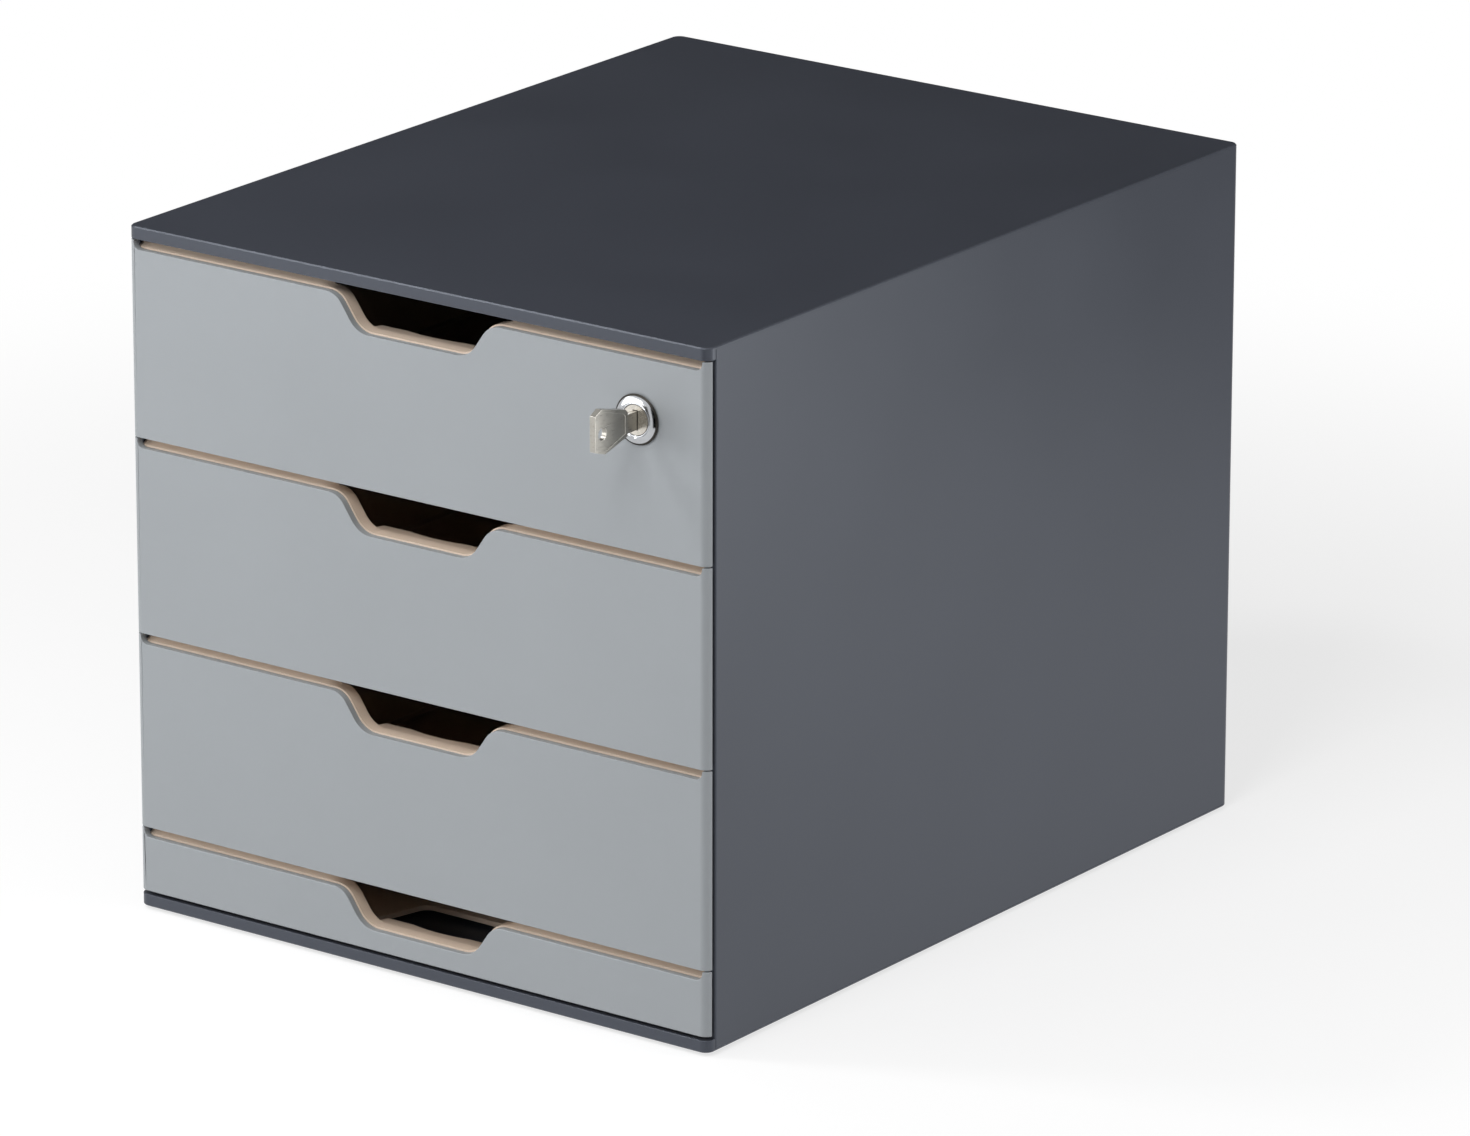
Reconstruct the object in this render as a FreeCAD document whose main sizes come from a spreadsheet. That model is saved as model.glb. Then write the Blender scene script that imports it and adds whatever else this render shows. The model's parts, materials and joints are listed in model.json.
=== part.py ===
"""A closed desktop drawer box: a moulded casing, four drawers and a cam lock.

Millimetres. +Z is up, -Y is the front, and the origin lies on the standing
surface under the middle of the casing.
"""

import FreeCAD, Part
import enum
import os
import re

import Sketcher


class Point(enum.IntEnum):
    """Which point of a sketch's line, arc or circle a constraint holds."""

    START = 1
    END = 2
    CENTRE = 3


DRAWERS = ("1", "2", "3", "4")
LOW_DRAWER = "4"
LOCKED_DRAWER = "1"
SIDES = {"left": "-1", "right": "1"}
HOLLOW_STRIPS = 4
HOOK_COLUMNS = (-2, -1, 1, 2)
NEAR = 0.02
BEYOND = "2 * overall_width"
ORIGIN = -1

DRIVING_SIZES = (
    # casing
    ("overall_width", 280.0),
    ("overall_depth", 356.0),
    ("foot_drop", 1.5),
    ("lip_height", 5.0),
    ("lip_depth", 4.8),
    ("corner_radius", 4.0),
    ("edge_radius", 0.8),
    ("edge_bevel", 0.5),
    ("lap_wall", 1.2),
    ("side_wall", 2.4),
    ("plate_wall", 2.4),
    ("back_wall", 2.2),
    ("back_return", 10.0),
    ("back_groove", 1.4),
    ("casing_fit", 0.1),
    ("strip_rib", 2.0),
    ("strip_margin", 32.0),
    ("strip_inset", 22.0),
    ("nub_length", 12.0),
    ("nub_height", 1.4),
    ("nub_reach", 0.7),
    ("nub_lap", 1.2),
    ("nub_fit", 0.2),
    ("nub_spread", 120.0),
    # feet
    ("foot_radius", 7.0),
    ("foot_height", 3.0),
    ("foot_inset", 18.0),
    ("foot_bevel", 0.5),
    # runners on the side panels
    ("runner_reach", 5.0),
    ("runner_wall", 2.0),
    ("runner_play", 0.1),
    ("runner_lead", 0.8),
    ("guide_wall", 1.6),
    ("guide_play", 0.4),
    ("guide_lead", 11.0),
    ("stop_inset", 5.5),
    ("stop_length", 4.0),
    ("stop_width", 2.4),
    ("stop_play", 0.5),
    ("pull_out", 250.0),
    # drawer stack
    ("front_gap", 1.5),
    ("tall_pitch", 80.4),
    ("low_pitch", 26.8),
    ("reveal", 4.2),
    # drawer fronts
    ("cap_depth", 3.0),
    ("cap_wall", 2.2),
    ("cap_border", 8.0),
    ("cap_rim", 2.6),
    ("ear_gap", 0.6),
    ("ear_width", 3.0),
    ("ear_round", 3.0),
    ("handle_top", 73.8),
    ("handle_base", 53.8),
    ("handle_drop", 14.4),
    ("handle_top_round", 9.0),
    ("handle_base_round", 11.0),
    ("hook_width", 8.0),
    ("hook_wall", 1.4),
    ("hook_catch", 0.7),
    ("hook_barb", 1.2),
    ("hook_fit", 0.2),
    ("hook_inset", 16.0),
    ("hook_low", 5.5),
    ("hook_high", 38.0),
    # drawer trays
    ("side_play", 0.6),
    ("rim_step", 0.6),
    ("handle_step", 0.6),
    ("rim_depth", 5.3),
    ("rim_wall", 1.8),
    ("skin_wall", 1.8),
    ("tray_lift", 0.6),
    ("tray_wall", 1.8),
    ("tray_play", 0.6),
    ("floor_wall", 2.0),
    ("inside_round", 3.0),
    ("floor_bevel", 1.5),
    ("rear_round", 5.0),
    ("rear_gap", 6.0),
    ("flange_wall", 2.0),
    ("flange_reach", 2.4),
    ("catch_length", 12.0),
    ("ledge_depth", 7.2),
    ("ledge_fall", 1.0),
    ("ledge_wall", 1.8),
    ("scallop_width", 28.0),
    ("scallop_drop", 2.2),
    ("hole_front_width", 84.0),
    ("hole_rear_width", 66.0),
    ("hole_front", 14.0),
    ("hole_rear", 48.0),
    ("hole_round", 5.0),
    # lock
    ("lock_inset", 32.8),
    ("lock_rise", 52.4),
    ("rosette_radius", 10.0),
    ("rosette_proud", 2.0),
    ("rosette_bevel", 0.6),
    ("rosette_face", 7.4),
    ("barrel_radius", 8.0),
    ("barrel_length", 16.0),
    ("barrel_fit", 0.1),
    ("barrel_boss", 2.0),
    ("nut_width", 20.0),
    ("nut_wall", 3.0),
    ("plug_head_radius", 6.0),
    ("plug_head_length", 3.0),
    ("plug_sunk", 0.4),
    ("plug_radius", 5.2),
    ("plug_fit", 0.06),
    ("shank_side", 7.0),
    ("shank_fit", 0.05),
    ("washer_wall", 0.8),
    ("washer_radius", 7.6),
    ("cam_wall", 2.0),
    ("cam_reach", 27.4),
    ("cam_width", 11.0),
    ("cam_hub", 8.0),
    ("screw_radius", 1.6),
    ("screw_length", 6.0),
    ("screw_head_radius", 4.2),
    ("screw_head_height", 2.2),
    ("screw_head_bevel", 0.5),
    ("screw_slot", 0.9),
    ("screw_slot_length", 5.0),
    ("keyway_depth", 14.0),
    ("key_wall", 2.0),
    ("key_fit", 0.12),
    ("blade_height", 7.4),
    ("blade_length", 13.0),
    ("notch_depth", 1.5),
    ("neck_length", 6.3),
    ("bow_length", 20.0),
    ("bow_rise", 0.8),
    ("bow_inner_half", 5.3),
    ("bow_outer_half", 9.0),
    ("bow_end_half", 7.0),
    ("bow_corner", 1.2),
    ("bow_upper_chamfer", 3.9),
    ("bow_lower_chamfer", 6.1),
    ("bow_wall", 2.6),
    ("bow_border", 1.3),
    ("bow_panel_depth", 0.25),
    ("key_hole_radius", 2.5),
    ("key_hole_inset", 4.7),
    # keeper that the cam turns up behind
    ("keeper_wall", 3.0),
    ("keeper_plate", 1.6),
    ("keeper_depth", 10.0),
    ("keeper_drop", 5.0),
    ("keeper_width", 28.0),
    ("keeper_play", 0.6),
    ("peg_radius", 1.5),
    ("peg_length", 3.0),
    ("peg_fit", 0.05),
    ("peg_spread", 18.0),
)

DERIVED_SIZES = (
    ("half_width", "overall_width / 2"),
    ("half_depth", "overall_depth / 2"),
    ("front_plane", "-overall_depth / 2"),
    ("wall_front", "front_plane + lip_depth"),
    ("side_inner", "half_width - side_wall"),
    ("plate_half", "side_inner - casing_fit"),
    ("seam_height", "lip_height - lap_wall"),
    ("back_rear", "half_depth - side_wall - casing_fit"),
    ("back_inner", "back_rear - back_wall"),
    ("level_4", "foot_drop + lip_height + front_gap"),
    ("level_3", "level_4 + low_pitch"),
    ("level_2", "level_3 + tall_pitch"),
    ("level_1", "level_2 + tall_pitch"),
    ("level_0", "level_1 + tall_pitch"),
    ("casing_top", "level_0 + lip_height"),
    ("strip_pitch", f"(overall_width - 2 * strip_margin + strip_rib) / {HOLLOW_STRIPS}"),
    ("strip_front", "front_plane + strip_inset"),
    ("strip_rear", "back_inner - strip_rib"),
    ("cap_back", "front_plane + cap_depth"),
    ("rim_back", "cap_back + rim_depth"),
    ("skin_front", "rim_back - skin_wall"),
    ("front_half", "side_inner - side_play"),
    ("tray_half", "side_inner - runner_reach - tray_play"),
    ("tray_rear", "back_inner - rear_gap - flange_reach"),
    ("floor_top", "tray_lift + floor_wall"),
    ("stop_front", "rim_back + stop_inset"),
    ("stop_rear", "stop_front + stop_length"),
    ("catch_front", "stop_rear + stop_play + pull_out"),
    ("rim_drop", "reveal - rim_step"),
    ("handle_slope", "(handle_top - handle_base) / 2 / handle_drop"),
    ("slope_stretch", "sqrt(1 + handle_slope ^ 2)"),
    ("handle_shift", "handle_step * slope_stretch"),
    ("rim_shift", "handle_shift - rim_wall * slope_stretch"),
    ("scallop_radius", "(scallop_width ^ 2 / 4 + scallop_drop ^ 2) / (2 * scallop_drop)"),
    ("ledge_edge", "rim_back + ledge_depth"),
    ("hook_spacing", "(tray_half - hook_inset) / 2"),
    ("lock_offset", "half_width - lock_inset"),
    ("lock_level", "level_1 + lock_rise"),
    ("nut_tip", "nut_width / sqrt(3)"),
    ("barrel_end", "front_plane + barrel_length"),
    ("cam_front", "barrel_end + washer_wall"),
    ("keeper_rear", "cam_front - keeper_play"),
    ("keeper_front", "keeper_rear - keeper_depth"),
)


def make_sheet(document):
    """Write every size to a spreadsheet, the driving ones as plain numbers."""
    sheet = document.addObject("Spreadsheet::Sheet", "Sizes")
    cells = [(name, str(size)) for name, size in DRIVING_SIZES]
    cells += [(name, "=" + formula) for name, formula in DERIVED_SIZES]
    for row, (name, content) in enumerate(cells, start=1):
        sheet.set(f"A{row}", name)
        sheet.set(f"B{row}", content)
        sheet.setAlias(f"B{row}", name)
    document.recompute()
    return sheet


DOC = FreeCAD.newDocument("DrawerBox")
SHEET = make_sheet(DOC)


def size(expression):
    """The number that an expression of sheet names has now."""
    return float(SHEET.evalExpression(expression))


def bound(expression):
    """The same expression as another object writes it."""
    return re.sub(r"[a-z]\w+", lambda name: f"Sizes.{name.group()}", expression)


def new_body(label, x="0", y="0", z="0"):
    """An empty body whose placement follows the sheet."""
    body = DOC.addObject("PartDesign::Body", label)
    body.Label = label
    for axis, expression in (("x", x), ("y", y), ("z", z)):
        body.setExpression(f"Placement.Base.{axis}", bound(expression))
    return body


def new_sketch(body, name, plane, offset="0"):
    """A sketch on one of the body's own planes, moved along that plane's normal.

    The normals are +Z for XY, -Y for XZ and +X for YZ.
    """
    sketch = body.newObject("Sketcher::SketchObject", f"{body.Name}_{name}")
    planes = {feature.Role: feature for feature in body.Origin.OriginFeatures}
    sketch.AttachmentSupport = [(planes[f"{plane}_Plane"], "")]
    sketch.MapMode = "FlatFace"
    sketch.setExpression("AttachmentOffset.Base.z", bound(offset))
    return sketch


def bind_points(sketch, points):
    """Tie sketch points, given as (geometry, point, x, y), to sheet expressions."""
    constraints = []
    expressions = []
    for geometry, point, x, y in points:
        for kind, expression in (("DistanceX", x), ("DistanceY", y)):
            constraints.append(
                Sketcher.Constraint(kind, ORIGIN, Point.START, geometry, point, size(expression))
            )
            expressions.append(expression)
    for number, expression in zip(sketch.addConstraint(constraints), expressions):
        sketch.setExpression(f"Constraints[{number}]", bound(expression))


def draw_outline(sketch, corners):
    """Draw a closed outline of straight edges through corners given as expressions."""
    first = sketch.GeometryCount
    count = len(corners)
    places = [FreeCAD.Vector(size(x), size(y), 0) for x, y in corners]
    for index in range(count):
        sketch.addGeometry(Part.LineSegment(places[index], places[(index + 1) % count]))
    joints = [
        Sketcher.Constraint(
            "Coincident", first + index, Point.END, first + (index + 1) % count, Point.START
        )
        for index in range(count)
    ]
    sketch.addConstraint(joints)
    bind_points(
        sketch, [(first + index, Point.START, x, y) for index, (x, y) in enumerate(corners)]
    )


def draw_path(sketch, corners):
    """Draw straight edges from the first corner to the last, and no closing edge."""
    places = [FreeCAD.Vector(size(x), size(y), 0) for x, y in corners]
    for start, end in zip(places, places[1:]):
        sketch.addGeometry(Part.LineSegment(start, end))
    last = len(corners[:-1]) - 1
    joints = [
        Sketcher.Constraint("Coincident", edge, Point.END, edge + 1, Point.START)
        for edge in range(last)
    ]
    sketch.addConstraint(joints)
    points = [(edge, Point.START, *corner) for edge, corner in enumerate(corners[:-1])]
    points.append((last, Point.END, *corners[-1]))
    bind_points(sketch, points)


def close_with_arc(sketch, corners, centre, radius, backwards):
    """Close a path with a convex arc from its last corner to its first.

    A sketch stores its arcs anticlockwise, so a clockwise one is drawn backwards.
    """
    middle = FreeCAD.Vector(size(centre[0]), size(centre[1]), 0)
    ends = [FreeCAD.Vector(size(x), size(y), 0) for x, y in (corners[-1], corners[0])]
    halfway = middle + (ends[0] + ends[1] - middle * 2).normalize() * size(radius)
    last = sketch.GeometryCount - 1
    arc = sketch.addGeometry(Part.Arc(ends[0], halfway, ends[1]))
    joins = [Point.END, Point.START] if backwards else [Point.START, Point.END]
    joints = [
        Sketcher.Constraint("Coincident", last, Point.END, arc, joins[0]),
        Sketcher.Constraint("Coincident", 0, Point.START, arc, joins[1]),
    ]
    sketch.addConstraint(joints)
    number = sketch.addConstraint(Sketcher.Constraint("Radius", arc, size(radius)))
    sketch.setExpression(f"Constraints[{number}]", bound(radius))


def draw_circle(sketch, x, y, radius):
    """Draw a circle whose centre and radius are expressions."""
    centre = FreeCAD.Vector(size(x), size(y), 0)
    circle = sketch.addGeometry(Part.Circle(centre, FreeCAD.Vector(0, 0, 1), size(radius)))
    bind_points(sketch, [(circle, Point.CENTRE, x, y)])
    number = sketch.addConstraint(Sketcher.Constraint("Radius", circle, size(radius)))
    sketch.setExpression(f"Constraints[{number}]", bound(radius))


def rectangle(left, right, low, high):
    """The corners of a rectangle."""
    return [(left, low), (right, low), (right, high), (left, high)]


def mirrored(half_outline):
    """A right half outline and its reflection, as one closed outline."""
    reflected = [(f"-({x})", y) for x, y in reversed(half_outline)]
    return half_outline + reflected


def extrude(body, kind, sketch, length, reverse=False):
    """A pad, or a pocket that has to take material away."""
    DOC.recompute()
    before = body.Shape.Volume if body.Tip else 0.0
    feature = body.newObject(f"PartDesign::{kind}", f"{sketch.Name}_{kind}")
    feature.Profile = sketch
    feature.Reversed = reverse
    feature.setExpression("Length", bound(length))
    sketch.Visibility = False
    DOC.recompute()
    change = body.Shape.Volume - before
    if (change > 0) != (kind == "Pad"):
        raise ValueError(f"{feature.Name} changed the volume by {change:.3f}")
    return feature


def pad(body, sketch, length, reverse=False):
    """Add the sketch's profile along its normal, or against it."""
    return extrude(body, "Pad", sketch, length, reverse)


def pocket(body, sketch, length, reverse=False):
    """Cut the sketch's profile against its normal, or along it."""
    return extrude(body, "Pocket", sketch, length, reverse)


def revolve(body, kind, sketch, axis):
    """A full turn of the sketch about one of its own axes."""
    feature = body.newObject(f"PartDesign::{kind}", f"{sketch.Name}_{kind}")
    feature.Profile = sketch
    feature.ReferenceAxis = (sketch, [axis])
    feature.Angle = 360.0
    sketch.Visibility = False
    DOC.recompute()
    return feature


def straight(axis, **places):
    """A test for straight edges along an axis whose middles lie at the given places."""

    def test(edge):
        box = edge.BoundBox
        along = getattr(box, f"{axis.upper()}Length")
        if not isinstance(edge.Curve, Part.Line) or box.DiagonalLength - along > NEAR:
            return False
        middle = edge.CenterOfMass
        return all(
            any(abs(getattr(middle, name) - size(place)) < NEAR for place in choices)
            for name, choices in places.items()
        )

    return test


def at_height(level, low_x="-overall_width", high_x="overall_width"):
    """A test for edges that lie wholly at one height, between two planes of X."""

    def test(edge):
        box = edge.BoundBox
        return (
            abs(box.ZMin - size(level)) < NEAR
            and abs(box.ZMax - size(level)) < NEAR
            and box.XMin > size(low_x) - NEAR
            and box.XMax < size(high_x) + NEAR
        )

    return test


def dress(body, kind, amount, test):
    """Round or chamfer the edges of the body's tip that pass a test."""
    base = body.Tip
    names = [f"Edge{n}" for n, edge in enumerate(base.Shape.Edges, start=1) if test(edge)]
    if not names:
        raise ValueError(f"{body.Label} has no edge to {kind.lower()}")
    feature = body.newObject(f"PartDesign::{kind}", f"{body.Name}_{kind}")
    feature.Base = (base, names)
    feature.setExpression("Radius" if kind == "Fillet" else "Size", bound(amount))
    DOC.recompute()
    return feature


def cut_hollow_strips(body, opening_level, depth, reverse):
    """Cut a row of long hollows, which leaves stiffening ribs between them."""
    sketch = new_sketch(body, "strips", "XY", opening_level)
    left = "-half_width + strip_margin"
    draw_outline(
        sketch,
        rectangle(left, f"{left} + strip_pitch - strip_rib", "strip_front", "strip_rear"),
    )
    strip = pocket(body, sketch, depth, reverse)
    row = body.newObject("PartDesign::LinearPattern", f"{body.Name}_strip_row")
    row.Originals = [strip]
    row.Direction = (sketch, ["H_Axis"])
    row.Occurrences = HOLLOW_STRIPS
    row.setExpression("Length", bound(f"{HOLLOW_STRIPS - 1} * strip_pitch"))
    body.Tip = row
    DOC.recompute()


def cut_side_hollows(body, opening_level, depth, reverse):
    """Cut the two long hollows between the foot blocks."""
    for side, sign in SIDES.items():
        sketch = new_sketch(body, f"{side}_hollow", "XY", opening_level)
        near = f"{sign} * (half_width - strip_margin + strip_rib)"
        far = f"{sign} * (plate_half - strip_rib)"
        inset = "front_plane + strip_inset + 2 * foot_radius"
        draw_outline(sketch, rectangle(near, far, inset, f"-({inset})"))
        pocket(body, sketch, depth, reverse)


def cut_side_laps(body, level, reverse):
    """Cut the rebates that take the side panels' ends under a thin lap."""
    for side, sign in SIDES.items():
        sketch = new_sketch(body, f"{side}_lap", "XY", level)
        inner = f"{sign} * plate_half"
        outer = f"{sign} * (half_width + corner_radius)"
        rear = "half_depth + corner_radius"
        draw_outline(sketch, rectangle(inner, outer, "wall_front", rear))
        pocket(body, sketch, "seam_height", reverse)


def cut_back_rebate(body, level, reverse):
    """Cut the rebates for the side panels' rear returns and the back panel's groove."""
    for side, sign in SIDES.items():
        sketch = new_sketch(body, f"{side}_return", "XY", level)
        inner = f"{sign} * (half_width - back_return - casing_fit)"
        outer = f"{sign} * (half_width + corner_radius)"
        draw_outline(sketch, rectangle(inner, outer, "back_rear", "half_depth + corner_radius"))
        pocket(body, sketch, "seam_height", reverse)


def cut_back_groove(body, level, reverse):
    """Cut the groove that holds an edge of the back panel."""
    sketch = new_sketch(body, "back_groove", "XY", level)
    draw_outline(sketch, rectangle("-plate_half", "plate_half", "back_inner", "back_rear"))
    pocket(body, sketch, "back_groove", reverse)


def nub_spans():
    """Y span of each snap nub that joins a side panel to the top or the bottom."""
    for place in (-1, 0, 1):
        middle = f"{place} * nub_spread"
        yield f"{middle} - nub_length / 2", f"{middle} + nub_length / 2"


def cut_nub_pockets(body, height):
    """Cut the pockets that the side panels' snap nubs click into."""
    for side, sign in SIDES.items():
        sketch = new_sketch(body, f"{side}_nub_pockets", "YZ", f"{sign} * plate_half")
        for near, far in nub_spans():
            low = f"{height} - nub_height / 2 - nub_fit"
            high = f"{height} + nub_height / 2 + nub_fit"
            draw_outline(sketch, rectangle(f"{near} - nub_fit", f"{far} + nub_fit", low, high))
        pocket(body, sketch, "nub_reach + nub_fit", side == "left")


def draw_casing_plan(body, level):
    """The rounded rectangle that the top and the bottom share."""
    plan = new_sketch(body, "plan", "XY", level)
    corners = rectangle("-half_width", "half_width", "-half_depth", "half_depth")
    draw_outline(plan, corners)
    pad(body, plan, "lip_height")
    dress(
        body,
        "Fillet",
        "corner_radius",
        straight("z", x=("half_width", "-half_width"), y=("half_depth", "-half_depth")),
    )


def build_top_panel():
    """Top plate with its front lip, laps over the side panels and holes for the keeper."""
    body = new_body("top_panel", z="level_0")
    draw_casing_plan(body, "0")
    dress(body, "Chamfer", "edge_bevel", at_height("lip_height"))
    cut_side_laps(body, "0", True)
    cut_back_rebate(body, "0", True)
    cut_back_groove(body, "0", True)
    cut_nub_pockets(body, "seam_height - nub_lap")
    hollow = "lip_height - plate_wall"
    cut_hollow_strips(body, "0", hollow, True)
    cut_side_hollows(body, "0", hollow, True)
    holes = new_sketch(body, "keeper_holes", "XY", "0")
    for x, y in keeper_pegs():
        draw_circle(holes, x, y, "peg_radius + peg_fit")
    pocket(body, holes, "peg_length + casing_fit", True)
    return body


def keeper_pegs():
    """Centres of the pegs that hold the lock's keeper under the top plate."""
    middle = "(keeper_front + keeper_rear) / 2"
    return [(f"lock_offset + {way} * peg_spread / 2", middle) for way in SIDES.values()]


def build_bottom_panel():
    """Bottom plate: like the top, with the hollows underneath and four foot seats."""
    body = new_body("bottom_panel", z="foot_drop")
    draw_casing_plan(body, "0")
    dress(body, "Chamfer", "edge_bevel", at_height("0"))
    cut_side_laps(body, "lip_height", False)
    cut_back_rebate(body, "lip_height", False)
    cut_back_groove(body, "lip_height", False)
    cut_nub_pockets(body, "lap_wall + nub_lap")
    hollow = "lip_height - plate_wall"
    cut_hollow_strips(body, "0", hollow, True)
    cut_side_hollows(body, "0", hollow, True)
    seats = new_sketch(body, "foot_seats", "XY", "0")
    for x, y in foot_places().values():
        draw_circle(seats, x, y, "foot_radius + casing_fit")
    pocket(body, seats, "foot_height - foot_drop", True)
    return body


def foot_places():
    """Centre of each foot, by name."""
    inset_y = "half_depth - strip_inset"
    return {
        f"{end}_{side}": (f"{sign} * (half_width - foot_inset)", f"{way} * ({inset_y})")
        for end, way in (("front", -1), ("rear", 1))
        for side, sign in SIDES.items()
    }


def build_foot(name, x, y):
    """Rubber pad pressed into its seat under the bottom plate."""
    body = new_body(f"foot_{name}", x=x, y=y)
    disc = new_sketch(body, "disc", "XY")
    draw_circle(disc, "0", "0", "foot_radius")
    pad(body, disc, "foot_height")
    dress(body, "Chamfer", "foot_bevel", at_height("0"))
    return body


def pitch_of(drawer):
    """Name of the height that a drawer takes in the stack."""
    return "low_pitch" if drawer == LOW_DRAWER else "tall_pitch"


def runner_top(drawer):
    """Height of the runner under a drawer's flange."""
    return f"level_{drawer} + {pitch_of(drawer)} - rim_drop - flange_wall - runner_play"


def add_rails(body, sign, name, wall, lead, bottom_of):
    """Rails along the inside of a side panel, one for each drawer."""
    section = new_sketch(body, name, "XZ", f"-(rim_back + {lead})")
    inner = f"{sign} * (side_inner - runner_reach)"
    outer = f"{sign} * side_inner"
    for drawer in DRAWERS:
        low = bottom_of(drawer)
        draw_outline(section, rectangle(inner, outer, low, f"{low} + {wall}"))
    pad(body, section, f"back_inner - rim_back - {lead}", True)


def add_stops(body, sign):
    """Nubs on the lower rails that catch the drawers' flanges when they are pulled out."""
    section = new_sketch(body, "stops", "XZ", "-stop_front")
    inner = f"{sign} * (side_inner - stop_width)"
    outer = f"{sign} * side_inner"
    for drawer in DRAWERS:
        low = runner_top(drawer)
        draw_outline(section, rectangle(inner, outer, low, f"{low} + flange_wall"))
    pad(body, section, "stop_length", True)


def build_side_panel(side):
    """Side wall with its rear return, drawer runners, guides and pull-out stops."""
    sign = SIDES[side]
    body = new_body(f"{side}_side_panel")
    plan = new_sketch(body, "plan", "XY", "foot_drop + lap_wall")
    outer = f"{sign} * half_width"
    inner = f"{sign} * side_inner"
    turned = f"{sign} * (half_width - back_return)"
    corners = [
        (inner, "wall_front"),
        (outer, "wall_front"),
        (outer, "half_depth"),
        (turned, "half_depth"),
        (turned, "half_depth - side_wall"),
        (inner, "half_depth - side_wall"),
    ]
    draw_outline(plan, corners)
    pad(body, plan, "casing_top - foot_drop - 2 * lap_wall")
    dress(body, "Fillet", "corner_radius", straight("z", x=(outer,), y=("half_depth",)))
    dress(body, "Fillet", "edge_radius", straight("z", x=(outer,), y=("wall_front",)))
    add_rails(
        body, sign, "runners", "runner_wall", "runner_lead",
        lambda drawer: f"{runner_top(drawer)} - runner_wall",
    )
    add_rails(
        body, sign, "guides", "guide_wall", "guide_lead",
        lambda drawer: f"{runner_top(drawer)} + runner_play + flange_wall + guide_play",
    )
    add_stops(body, sign)
    add_nubs(body, side)
    return body


def add_nubs(body, side):
    """Snap nubs near the upper and lower ends of a side panel."""
    sketch = new_sketch(body, "nubs", "YZ", f"{SIDES[side]} * side_inner")
    seams = ("foot_drop + lap_wall + nub_lap", "casing_top - lap_wall - nub_lap")
    for height in seams:
        for near, far in nub_spans():
            low = f"{height} - nub_height / 2"
            high = f"{height} + nub_height / 2"
            draw_outline(sketch, rectangle(near, far, low, high))
    pad(body, sketch, "nub_reach", side == "right")


def build_back_panel():
    """Flat back that slides into the grooves of the top and the bottom."""
    low = "foot_drop + lip_height - back_groove + casing_fit"
    high = "level_0 + back_groove - casing_fit"
    body = new_body("back_panel", z=low)
    plan = new_sketch(body, "plan", "XY")
    draw_outline(plan, rectangle("-plate_half", "plate_half", "back_inner", "back_rear"))
    pad(body, plan, f"{high} - ({low})")
    return body


def handle_half(height, shift):
    """Half the width of the hand cut-out's slopes at a height over the cut-out's base."""
    return f"handle_base / 2 + ({height}) * handle_slope - {shift}"


def front_outline(pitch, side_half, low, drop, handle_rise, shift):
    """Front elevation of a drawer front with its hand cut-out.

    drop is how far the upper edge lies under the next drawer, handle_rise how far the
    cut-out's base lies over that of the grey front, and shift how far its slopes are
    moved inwards.
    """
    top = f"{pitch} - ({drop})"
    base = f"{pitch} - reveal - handle_drop + {handle_rise}"
    over_base = f"reveal + handle_drop - ({drop})"
    half = [
        (side_half, low),
        (side_half, top),
        (handle_half(over_base, shift), top),
        (handle_half(handle_rise, shift), base),
    ]
    return mirrored(half)


def cap_outline(pitch):
    """Front elevation of a grey front: like the tray's, with an ear at each end."""
    half = [
        ("half_width", "0"),
        ("half_width", f"{pitch} - ear_gap"),
        ("half_width - ear_width", f"{pitch} - ear_gap"),
        ("half_width - ear_width", f"{pitch} - reveal"),
        ("handle_top / 2", f"{pitch} - reveal"),
        ("handle_base / 2", f"{pitch} - reveal - handle_drop"),
    ]
    return mirrored(half)


def both(x):
    """A place in X and its reflection."""
    return (x, f"-({x})")


def round_handle(body, top_x, top_z, base_x, base_z, top_round, base_round):
    """Round the four corners of a hand cut-out."""
    dress(body, "Fillet", top_round, straight("y", x=both(top_x), z=(top_z,)))
    dress(body, "Fillet", base_round, straight("y", x=both(base_x), z=(base_z,)))


def cut_plan_corners(body):
    """Round the upright edges in plan with the casing's own corner radius."""
    for side, sign in SIDES.items():
        sketch = new_sketch(body, f"{side}_corner", "XY", f"-{BEYOND}")
        start_x = f"{sign} * (half_width - corner_radius)"
        outer_x = f"{sign} * (half_width + corner_radius)"
        near = "front_plane - corner_radius"
        far = "front_plane + corner_radius"
        corners = [
            (start_x, "front_plane"),
            (start_x, near),
            (outer_x, near),
            (outer_x, far),
            (f"{sign} * half_width", far),
        ]
        draw_path(sketch, corners)
        close_with_arc(sketch, corners, (start_x, far), "corner_radius", side == "right")
        pocket(body, sketch, f"2 * {BEYOND}", True)


def hook_rows(drawer):
    """Heights of the snap hooks over a drawer's lower edge."""
    return ("hook_low",) if drawer == LOW_DRAWER else ("hook_low", "hook_high")


def hook_spans(drawer):
    """X span and lower height of each snap hook."""
    for column in HOOK_COLUMNS:
        for height in hook_rows(drawer):
            middle = f"{column} * hook_spacing"
            yield f"{middle} - hook_width / 2", f"{middle} + hook_width / 2", height


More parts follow.
